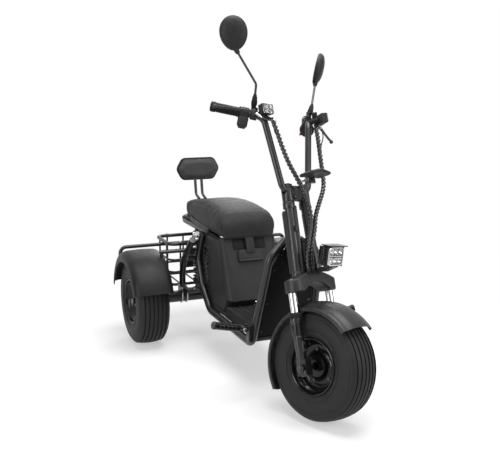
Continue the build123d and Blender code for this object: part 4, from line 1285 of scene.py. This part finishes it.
lathe(bm, [(0, -2), (7, -2), (8, 0), (0, 0)], KEY_AT, 20)
bolt(bm, (50, 15, 776), (0, 0, 1), 3)
on_fork("display_key", bm, ZINC)
tell(cowl)

# %% [markdown]
# ## Yoke and fork details
# The yoke is a cast arch over the wheel: flat in front, with a round boss at each end that grips
# a stanchion. It is lofted from rounded sections from one end to the other, so the arch, the
# bosses and the eased edges come out of one smooth skin.

# %% Arched yoke
END_FROM, END_REACH, YOKE_MIDDLE, YOKE_DEPTH = 102.0, 34.0, 3.0, 41.0
stations = [(END_FROM * i / 9, 1.0) for i in range(9)]
stations += [(END_FROM + END_REACH * math.sin(a), math.cos(a))
             for a in (0.0, 0.3, 0.6, 0.85, 1.1, 1.3, 1.45)]
rings = []
for y, depth in [(-s, d) for s, d in reversed(stations[1:])] + stations:
    s = abs(y)
    top = 388 - 26 * (s / 104) ** 2 if s < 104 else 362 - (s - 104) * 0.24
    bottom = 304 + 36 * max(0.0, 1 - (s / 82) ** 2)
    ring = []
    for j in range(32):
        a = math.tau * j / 32
        c, w = math.cos(a), math.sin(a)
        ring.append((YOKE_MIDDLE + YOKE_DEPTH * depth * soft(c, 0.25), y,
                     (top + bottom) / 2 + (top - bottom) / 2 * soft(w, 0.25)))
    rings.append(ring)
bm = bmesh.new()
skin(bm, rings)
yoke_piece = on_fork("arched_yoke", bm, FENDER, ["yoke"], crease=50)
bm = bmesh.new()
for sign in (-1, 1):
    lathe(bm, [(0, 0), (15, 0), (15.5, 3), (13, 6), (0, 6)],
          axis_frame((3, sign * LEG_Y, 354), (0, 0, 1)), 6)
on_fork("yoke_bolts", bm, DARK_STEEL)
tell(yoke_piece)

# %% [markdown]
# ## Fork columns, seals and clamp
# Each column is a tube in a longer sleeve with collars at both ends, a rod beside it in front, a
# flange behind and a small tab for the cables. Below the yoke the polished stanchions slide in
# the legs through rubber seals. Sleeves, collars, seals and rings are turned, each one lathe
# profile set on its tube's line.

# %% Column sleeves and collars
bm = bmesh.new()
for sign in (-1, 1):
    foot, head = Vector((-5, sign * 60, 370)), Vector((-5, sign * 50, 692))
    at = axis_frame(foot, head - foot)
    lathe(bm, [(20, 24), (21, 24), (21.5, 26), (21.5, 268), (21, 270), (20, 270)], at, 32, closed=True)
    lathe(bm, [(20, 0), (25, 0), (26, 2), (26, 14), (24, 20), (20, 20)], at, 32, closed=True)
    lathe(bm, [(20, 292), (25.4, 292), (26, 294), (26, 316), (25, 319), (20, 319)], at, 32, closed=True)
    beside = foot + Vector((16.6, -14.4 * sign, 0))
    bar(bm, [beside + (head - foot) * share for share in (0.0, 0.04, 0.92, 0.93)], [8.6, 9.4, 9.4, 8.4], 16)
    block(bm, (18, sign * 56 - 7, 560), (30, sign * 56 + 7, 584), 2.5)
    outward = Vector((-0.755, 0.656 * sign, 0))
    across = outward.cross(Vector((0, 0, 1)))
    flange = []
    for share, reach in ((0.05, 30), (0.85, 32), (0.88, 28)):
        flange.append([foot.lerp(head, share) + outward * far + across * wide for far, wide in (
            (12, -6), (reach, -6), (reach + 1.5, -4), (reach + 1.5, 4), (reach, 6), (12, 6))])
    skin(bm, flange)
sleeves = on_fork("column_sleeves", bm, PAINT)
bm = bmesh.new()
for sign in (-1, 1):
    for z in (706, 748):
        bolt(bm, (14, sign * 24, z), (1, 0, 0), 4.2)
        bolt(bm, (-4, sign * 75, z), (0, sign, 0), 3.4)
    bolt(bm, (30, sign * 56, 572), (1, 0, 0), 2.6)
    lathe(bm, [(0, 764), (16, 764), (16, 768), (12, 770), (0, 770)],
          Matrix.Translation((-4, sign * 50, 0)), 24)
on_fork("clamp_bolts", bm, DARK_STEEL)
tell(sleeves)

# %% Fork seals and leg details
bm = bmesh.new()
steel = bmesh.new()
rings_of_leg = bmesh.new()
for sign in (-1, 1):
    at = Matrix.Translation((0, sign * LEG_Y, 0))
    lathe(bm, [(16.6, 200), (24.4, 200), (25.2, 202), (25.2, 209), (23.4, 211), (23.4, 213), (24.4, 215),
               (22, 220), (18.2, 224), (16.7, 225)], at, 36, closed=True)
    lathe(rings_of_leg, [(20, 182), (23.6, 182), (24.2, 184), (24.2, 196), (23, 199), (20, 199)], at, 36,
          closed=True)
    lathe(rings_of_leg, [(20, 118), (22.6, 120), (22.8, 126), (20, 129)], at, 36, closed=True)
    block(rings_of_leg, (-13, sign * LEG_Y - 26, 132), (13, sign * LEG_Y - 14, 176), 4)
    block(rings_of_leg, (16, sign * LEG_Y - 9, 60), (27, sign * LEG_Y + 9, 108), 4)
    lathe(steel, [(0, 0), (8, 0), (9, 2), (9, 6), (0, 8)], axis_frame((0, sign * LEG_Y, -34), (0, 0, 1)), 6)
    for z in (70, 98):
        bolt(steel, (27, sign * LEG_Y, z), (1, 0, 0), 3)
    bolt(steel, (30, sign * 136.4, -14), (0, sign, 0), 4)
    lathe(steel, [(0, 0), (17, 0), (18, 2), (18, 5), (12, 5), (12, 14), (10, 16), (0, 16)],
          axis_frame((FRONT_HUB[0], sign * 138, 0), (0, sign, 0)), 6)
on_fork("fork_seals", bm, RUBBER)
on_fork("fork_leg_rings", rings_of_leg, PAINT)
on_fork("fork_leg_bolts", steel, DARK_STEEL)
print("fork seals, rings and bolts set on both legs")

# %% [markdown]
# ## Headlamp
# A square work lamp: a black die-cast box with cooling fins, a visor, a bright bezel and six
# square bowls, each with a light chip at its foot, behind a clear lens. The bowls are real
# hollows, so the lamp keeps its depth when it is seen from the side.

# %% Headlamp housing and bezel
LAMP_X, LAMP_Z = 118.0, 432.0
LAMP_TILT = (Matrix.Translation((122, 0, 392)) @ Matrix.Rotation(RAKE, 4, "Y")
             @ Matrix.Translation((-132, 0, -386)))
LAMP = FORK @ LAMP_TILT  # level with the road
bm = bmesh.new()
block(bm, (LAMP_X, -48, LAMP_Z - 41), (LAMP_X + 18, 48, LAMP_Z + 41), 7)
walls(bm, Matrix.Translation((LAMP_X, 0, LAMP_Z)), (14, 40), (49, 42), (6, 6), 2.5)
block(bm, (LAMP_X - 2, -51, LAMP_Z + 41.5), (LAMP_X + 57, 51, LAMP_Z + 45.5), 1.8)
for fin in range(9):
    y = -44 + 11 * fin
    block(bm, (LAMP_X - 13, y - 2, LAMP_Z - 37), (LAMP_X + 3, y + 2, LAMP_Z + 37), 1.2)
for rib in range(6):
    z = LAMP_Z - 30 + 12 * rib
    for sign in (-1, 1):
        block(bm, (LAMP_X + 3, sign * 46, z - 2), (LAMP_X + 28, sign * 51, z + 2), 1)
block(bm, (LAMP_X + 2, -16, LAMP_Z - 54), (LAMP_X + 26, 16, LAMP_Z - 38), 4)
housing = piece("headlamp_box", bm, LAMP, "steering", GLOSS, ["headlamp_housing"])


def square_ring(x, half_y, half_z, power=0.3, count=40, y=0, z=LAMP_Z):
    """A square with round corners about (y, z), standing at x in front of the lamp's back."""
    angles = [math.tau * j / count for j in range(count)]
    return [(LAMP_X + x, y + half_y * soft(math.cos(a), power), z + half_z * soft(math.sin(a), power))
            for a in angles]


bm = bmesh.new()
skin(bm, [square_ring(*ring) for ring in (
    (34, 47, 40), (41, 46.4, 39.4), (43.4, 44, 37), (43, 41, 34), (37, 40, 33), (34, 42, 35))], looped=True)
block(bm, (LAMP_X + 36, -42, LAMP_Z - 2.4), (LAMP_X + 40, 42, LAMP_Z + 2.4), 1.2)
piece("headlamp_bezel", bm, LAMP, "steering", CHROME, crease=50)
tell(housing)

# %% Headlamp bowls, chips and lens
bowls, chips, glass = bmesh.new(), bmesh.new(), bmesh.new()
for column in (-1, 0, 1):
    for row in (-1, 1):
        y, z = column * 27.0, LAMP_Z + row * 18.0
        skin(bowls, [square_ring(depth, 12.8 * half, 15.4 * half, 0.42 + 0.5 * (1 - half), 24, y, z)
                     for depth, half in ((39.4, 1.0), (32, 0.74), (25, 0.5), (20, 0.34))], capped=False)
        block(chips, (LAMP_X + 18, y - 4, z - 4), (LAMP_X + 21.5, y + 4, z + 4), 0.8)
block(bowls, (LAMP_X + 17, -44, LAMP_Z - 36), (LAMP_X + 19.5, 44, LAMP_Z + 36), 0.8)
piece("headlamp_bowls", bowls, LAMP, "steering", REFLECTOR, crease=50)
piece("headlamp_chips", chips, LAMP, "steering", LED)
skin(glass, [square_ring(*ring) for ring in ((38, 40.6, 33.6), (41.4, 40.4, 33.4), (42.8, 36, 29))])
piece("headlamp_glass", glass, LAMP, "steering", CLEAR, ["headlamp_lens"])
bm = bmesh.new()
for sign in (1, -1):
    bolt(bm, (LAMP_X + 14, sign * 18, LAMP_Z - 46), (0, sign, 0), 4)
piece("headlamp_screws", bm, LAMP, "steering", DARK_STEEL)
print("headlamp: 6 bowls, 6 chips, one lens")

# %% [markdown]
# ## Small cables
# Each lever's cable leaves its adjuster, swings down and joins the loom on its side, and the
# headlamp's lead goes from its box back to the loom. They are drawn as smooth curves from end to
# end. On the right a stout perch with a bright tip reaches from the lever's clamp to the loom.

# %% Right lever's perch
loom_top = Vector(LOOMS[0][2][0])
root, end = BAR[-1] @ Vector((34, 26, 2)), loom_top + Vector((3, -7, 6))
bm = bmesh.new()
bar(bm, [root, root.lerp(end, 0.1), end], [8.0, 8.6, 7.0], 16)
on_fork("lever_perch_right", bm, GLOSS)
bm = bmesh.new()
lathe(bm, [(0, -2), (5, -2), (5, 9), (6.6, 10), (6.6, 16), (4, 18), (0, 18)],
      axis_frame(end, end - root), 16)
on_fork("lever_perch_tip", bm, ZINC)
print("perch", round((end - root).length), "mm long")

# %% Lever cables and the headlamp's lead
CORDS = []
for (side, sign), (_, _, route), joins in zip(SIDES, LOOMS, (
        [(10, 0, 2), (3, 0, -22), (0, 0, -48)], [(-4, 41, -45), (3, 16, -73), (7, 1, -100), (7, -5, -135)])):
    heading = (BAR[sign].to_3x3() @ ADJUSTER_AIM[sign]).normalized()
    tip = BAR[sign] @ ADJUSTER_FOOT + heading * 30
    start = Vector(route[0])
    middle = [tip.lerp(start, 0.5) + Vector((18, 0, -10))] if sign < 0 else []
    CORDS.append((f"brake_cable_{side}", 2.6, [
        tip, tip + heading * 24, *middle, *[start + Vector(offset) for offset in joins]]))
CORDS.append(("headlamp_lead", 2.8, [
    LAMP_TILT @ Vector((107, 4, 438)), LAMP_TILT @ Vector((92, 4, 436)), (86, 6, 442), (68, 12, 450),
    (54, 20, 466), (50, 26, 486)]))
for name, radius, route in CORDS:
    cord, run = smooth_curve(name, [FORK @ Vector(point) for point in route], radius / 1000, CABLE)
    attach(cord, "steering")

# %% [markdown]
# ## Battery box trims
# The box is moulded panels. Where the sloping front meets a side, a soft corner band turns from
# one to the other; it catches the light and shows as a pale stripe. A curve across the corner,
# carried from foot to top, gives the band. The catch, its recess (a flat, darker rubber plate whose
# dark is painted shade) and the seat's strap sit on the front panel, drawn in that panel's own
# frame. A kick plate in the painted-shade black fills the dark gap under the front panel; seals,
# lips along the flanks and trays under the floor close the other gaps between the mouldings.

# %% Corner bands and the panel's frame
bm = bmesh.new()
for sign in (-1, 1):
    rings = []
    for i in range(15):
        t = i / 14
        front = Vector((560, 104, 332)).lerp(Vector((436, 134, 622)), t)
        flank = Vector((500, 150, 338)).lerp(Vector((384, 150, 606)), t)
        corner = Vector((front.x + 1, flank.y + 1, (front.z + flank.z) / 2))
        outer = []
        for k in range(9):
            u = k / 8
            spot = front * (1 - u) ** 2 + corner * 2 * u * (1 - u) + flank * u * u
            outer.append(Vector((spot.x, sign * spot.y, spot.z)))
        inner = [point + Vector((-9, -sign * 6, -2)) for point in reversed(outer)]
        rings.append(outer + inner)
    skin(bm, rings)
bands = on_frame("box_corner_bands", bm, PLASTIC, crease=60)
panel_rise = Vector((-124, 0, 290)).normalized()
panel_out = Vector((0, 1, 0)).cross(panel_rise)
PANEL = Matrix((
    (0, panel_rise.x, panel_out.x, 556), (1, panel_rise.y, panel_out.y, 0),
    (0, panel_rise.z, panel_out.z, 330), (0, 0, 0, 1)))
tell(bands)

# %% Seat catch, recess and strap
bm = bmesh.new()
prism(bm, [(-60, 250), (60, 250), (64, 244), (67, 198), (61, 190), (-61, 190), (-67, 198), (-64, 244)],
      PANEL, 11, 3.5, 3)
block(bm, (-63, 189, 4), (63, 201, 17), 5, PANEL)
block(bm, (-57, 204, 9), (57, 246, 12.4), 1.5, PANEL)
catch = on_frame("seat_catch_plate", bm, PLASTIC, ["seat_catch"])
# The recess under the seat's nose is a flat, darker rubber plate: its darkness is painted shade.
bm = bmesh.new()
block(bm, (-86, 252, -3), (86, 312, 1.6), 1.2, PANEL)
for x in (-52, 52):
    block(bm, (x - 24, 258, 0), (x + 24, 300, 3.4), 2, PANEL)
on_frame("catch_recess_painted_shade", bm, RUBBER)
strap, stitches = bmesh.new(), bmesh.new()
outline = [(-21, 326), (21, 326), (21, 238), (17, 231), (-17, 231), (-21, 238)]
prism(strap, outline, PANEL @ Matrix.Translation((0, 0, 16.2)), 3.6, 0.9)
for x in (-17.5, 17.5):
    for i in range(14):
        y = 240 + 6 * i
        bar(stitches, [PANEL @ Vector((x, y, 19.7)), PANEL @ Vector((x, y + 2, 20.1)),
                       PANEL @ Vector((x, y + 4, 19.7))], 0.6, 5)
piece("seat_strap", strap, CHASSIS, "seat", VINYL, ["latch_strap"])
piece("strap_stitches", stitches, CHASSIS, "seat", THREAD)
print(catch.name, "and strap set on the front panel")

# %% Side vents
VENT_BLADES = 8
vents, blades, surround = bmesh.new(), bmesh.new(), bmesh.new()
for sign in (-1, 1):
    block(surround, (201, sign * 144, 344), (308, sign * 149.2, 553), 1.6)
    block(vents, (208, sign * 144, 352), (274, sign * 150.2, 545), 0.6)
    for i in range(VENT_BLADES + 1):
        z = 354 + 189 * i / VENT_BLADES
        block(blades, (206, sign * 146, z - 2.4), (276, sign * 153.4, z + 2.4), 1.2)
    for x in (205, 273):
        block(blades, (x, sign * 146, 351), (x + 4, sign * 152, 546), 1.2)
on_frame("side_vent_surrounds", surround, PLASTIC)
on_frame("side_vents", vents, GLOSS)
on_frame("side_vent_blades", blades, PLASTIC)
print("side vents:", VENT_BLADES, "openings a side")

# %% Panel screws, charge port and closing trims
bm = bmesh.new()
for sign in (-1, 1):
    for x, z in ((300, 330), (338, 276), (482, 280), (292, 588), (390, 588)):
        bolt(bm, (x, sign * 147.6, z), (0, sign, 0), 2.8)
    for y, up in ((60, 8), (34, 28)):
        spot = Vector((967, sign * y, 634)) + Vector((-26, 0, 68)).normalized() * up
        bolt(bm, spot + Vector((3.7, 0, 1.4)), (68, 0, 26), 2.2)
    for y, up in ((112, 26), (102, 170), (90, 340)):
        spot = Vector((852, sign * y, 250)) + Vector((122, 0, 416)).normalized() * up
        bolt(bm, spot + Vector((3.8, 0, -1.1)), (416, 0, -122), 2.6)
on_frame("panel_screws", bm, DARK_STEEL)
bm = bmesh.new()
ring_at = axis_frame((545, -7, 312), (1, 0, 0))
lathe(bm, [(5, -2), (8.4, -2), (9, 0.5), (8.4, 2.6), (6.4, 3.2), (5.4, 2)], ring_at, 32, closed=True)
on_frame("charge_port_ring", bm, CHROME)
bm = bmesh.new()
lathe(bm, [(0, 1.6), (3.6, 1.6), (5.2, 0.8), (5.2, -2), (0, -2)], ring_at, 24)
on_frame("charge_port_cap", bm, RUBBER)
# The kick plate fills the dark gap under the front panel in SHADED, the painted-shade black.
bm = bmesh.new()
block(bm, (535, -114, 299), (545, 114, 336), 2)
on_frame("box_kick_plate", bm, SHADED)
bm = bmesh.new()
for sign in (-1, 1):
    block(bm, (240, sign * 118, 604), (424, sign * 137, 615.4), 3)
on_frame("box_top_seals", bm, RUBBER)
LIP = [  # (x, z) between the rail and the flank
    (238, 606), (206, 604), (152, 500), (143, 472), (151, 440), (206, 332), (312, 241), (342, 257),
    (244, 346), (184, 474)]
lips, trays = bmesh.new(), bmesh.new()
for sign in (-1, 1):
    side_on = Matrix(((1, 0, 0, 0), (0, 0, 1, sign * 142), (0, 1, 0, 0), (0, 0, 0, 1)))
    prism(lips, LIP if sign < 0 else LIP[::-1], side_on, -sign * 22, 2)
    block(trays, (346, sign * 107, 244), (522, sign * 150, 266), 3)
block(trays, (500, -110, 246), (522, 110, 298), 3)
block(trays, (811, -121, 290), (863, 121, 298), 2)
on_frame("box_flank_lips", lips, PLASTIC)
on_frame("box_floor_trays", trays, PLASTIC)
print("screws, charge port and closing trims set")

# %% [markdown]
# ## Shocks
# A damper inside an open coil spring, with an eye at each end. The coil is a bar swept on a
# helix, closed up at its ends as ground springs are, so that light shows between the turns.

# %% Coil springs and dampers
COIL_TURNS = 8.5
for side, sign in SIDES:
    foot, top = Vector((74, sign * 142, 284)), Vector((92, sign * 142, 498))
    at = axis_frame(foot, top - foot)
    length = (top - foot).length
    coil, damper = bmesh.new(), bmesh.new()
    run = []
    for i in range(int(COIL_TURNS * 20) + 1):
        t = i / (COIL_TURNS * 20)
        eased = t - 0.045 * math.sin(math.tau * t)
        a = math.tau * COIL_TURNS * t
        run.append(at @ Vector((21.5 * math.cos(a), 21.5 * math.sin(a), 36 + (length - 78) * eased)))
    bar(coil, run, 4.2, 8)
    on_frame(f"shock_spring_{side}", coil, GLOSS, [f"shock_{side}"])
    lathe(damper, [(0, 6), (11, 6), (12, 10), (12, 22), (24, 26), (25.6, 28), (25.6, 32), (14, 34), (13, 36),
                   (13, 120), (12, 122), (7, 123), (7, length - 40), (25, length - 39), (26, length - 36),
                   (26, length - 30), (14, length - 26), (11, length - 14), (11, length - 4),
                   (0, length - 4)], at, 28)
    for end, hole in ((foot, 6), (top, 10.4)):
        lathe(damper, [(hole, -13), (hole + 6, -13), (hole + 7, -11), (hole + 7, 11), (hole + 6, 13),
                       (hole, 13)], axis_frame(end, (0, 1, 0)), 24, closed=True)
    on_frame(f"shock_damper_{side}", damper, DARK_STEEL)
    pins = bmesh.new()
    bar(pins, [foot + Vector((0, -sign * 19, 0)), foot + Vector((0, sign * 19, 0))], 5.6, 16)
    bolt(pins, foot + Vector((0, sign * 18, 0)), (0, sign, 0), 5)
    lathe(pins, [(10.2, 0), (17, 0), (17, 3), (10.2, 3)],
          axis_frame(top + Vector((0, sign * 13.4, 0)), (0, sign, 0)), 24, closed=True)
    on_frame(f"shock_pins_{side}", pins, ZINC)
    print(f"shock_{side}", COIL_TURNS, "turns")

# %% [markdown]
# ## Lamps and fittings behind
# The tail lamp is a black tray with a fluted red lens, small clear lamps stand on stems beside the
# seat, and bright saddle bolts hold the axle.

# %% Tail lamp
TAIL_Z = 441
bm = bmesh.new()
block(bm, (-332, -70, 424), (-322, 70, 458), 3)
walls(bm, Matrix.Translation((0, 0, TAIL_Z)), (-343, -326), (70, 17), (4, 4), 1.4)
on_frame("tail_lamp_tray", bm, PLASTIC)
bm = bmesh.new()
flutes = []
for i in range(67):
    y = -65 + 130 * i / 66
    depth = 1.3 * abs(math.sin(math.pi * i / 3))
    edge = max(0.0, abs(y) - 52) ** 2 * 0.03
    face = -347 + depth + edge
    flutes.append([(face, y, 428.5), (face - 0.8, y, TAIL_Z), (face, y, 453.5), (-336, y, 453.5),
                   (-336, y, 428.5)])
skin(bm, flutes)
tail = on_frame("tail_lamp_lens", bm, RED_LENS, ["tail_lamp"])
bm = bmesh.new()
for column in range(6):
    y = -52.5 + 21 * column
    skin(bm, [[(x, y + 9.6 * k * a, TAIL_Z + 11.5 * k * b) for a, b in SQUARE]
              for x, k in ((-335.4, 1.0), (-333, 0.6), (-331.6, 0.25))])
on_frame("tail_lamp_bowls", bm, REFLECTOR, crease=20)
tell(tail)

# %% Side lamps by the seat, saddle bolts on the axle
bodies, bowls, glass, stems = (bmesh.new() for _ in range(4))
for sign in (-1, 1):
    at = Matrix.Translation((136, sign * 164, 590)) @ Matrix.Rotation(math.radians(sign * 30), 4, "Z")
    bar(stems, [(172, sign * 157, 572), (150, sign * 162, 580), (132, sign * 164, 588)], 6.5, 14)
    block(bodies, (-16, -19, -17), (2, 19, 17), 5, at)
    skin(bowls, [[at @ Vector((x, 17 * k * a, 15 * k * b)) for a, b in SQUARE]
                 for x, k in ((12, 1.0), (6, 0.7), (2.4, 0.3))])
    block(glass, (12.4, -18, -16), (17, 18, 16), 2, at)
    walls(bodies, at, (0, 14), (19, 17), (2, 2.4), 0.8)
on_frame("side_lamp_boxes", bodies, PLASTIC)
on_frame("side_lamp_stems", stems, RUBBER)
on_frame("side_lamp_bowls", bowls, REFLECTOR, crease=20)
on_frame("side_lamp_glass", glass, CLEAR)
bm = bmesh.new()
for sign in (-1, 1):
    for y in (186, 214):
        loop = [(33 * math.cos(a), sign * y, TYRE_R + 35 * math.sin(a))
                for a in [math.radians(180 + 180 * i / 16) for i in range(17)]]
        bar(bm, [(-33, sign * y, 284)] + loop + [(33, sign * y, 284)], 4.2, 10)
        for x in (-33, 33):
            bolt(bm, (x, sign * y, 276.4), (0, 0, 1), 4)
    for i in range(6):
        a = math.tau * i / 6
        bolt(bm, (42 * math.cos(a), sign * 301, TYRE_R + 42 * math.sin(a)), (0, -sign, 0), 4)
on_frame("axle_saddle_bolts", bm, ZINC)
print("side lamps and saddle bolts set")

# %% [markdown]
# ## Foot pegs and plate
# The pegs wear a rubber sleeve with a few shallow rings and a rounded end. The sleeve rides with
# its peg, so it folds up with it.

# %% Peg sleeves, plate screws
PEG_X, PEG_Y, PEG_Z = 866, 200, 300  # the pegs' hinges
SLEEVE = [(7.2, 19), (15.4, 19), (16.8, 21), (17, 30)]
for groove in range(5):
    h = 44 + 20 * groove
    SLEEVE += [(17, h), (15.8, h + 1.2), (15.8, h + 3), (17, h + 4.2)]
SLEEVE += [(17, 142), (18, 144), (18, 151), (16.6, 154.4), (12, 155.6), (0, 156)]
for side, sign in SIDES:
    bm = bmesh.new()
    pivot, end = Vector((PEG_X, sign * PEG_Y, PEG_Z)), Vector((884, sign * 350, 338))
    lathe(bm, SLEEVE, axis_frame(pivot, end - pivot), 36)
    sleeve = piece(f"peg_sleeve_{side}", bm, CHASSIS, f"peg_{side}", GLOSS)
    tell(sleeve)
bm = bmesh.new()
for sign in (-1, 1):
    for ear in (-18, 18):
        bolt(bm, (PEG_X + ear, sign * PEG_Y, PEG_Z), (1 if ear > 0 else -1, 0, 0), 4)
    bolt(bm, (-331, sign * 60, 380), (-1, 0, 0), 3.2)
    for x in (-316, -70):
        lathe(bm, [(0, 0), (8, 0), (8, 3), (6, 4), (0, 4)], axis_frame((x, sign * 190, 510), (0, 0, 1)), 20)
on_frame("peg_and_plate_bolts", bm, ZINC)
bm = bmesh.new()
for sign in (-1, 1):
    block(bm, (848, sign * 154, 236), (884, sign * 180, 288), 3)
tell(on_frame("peg_gussets", bm, PAINT))
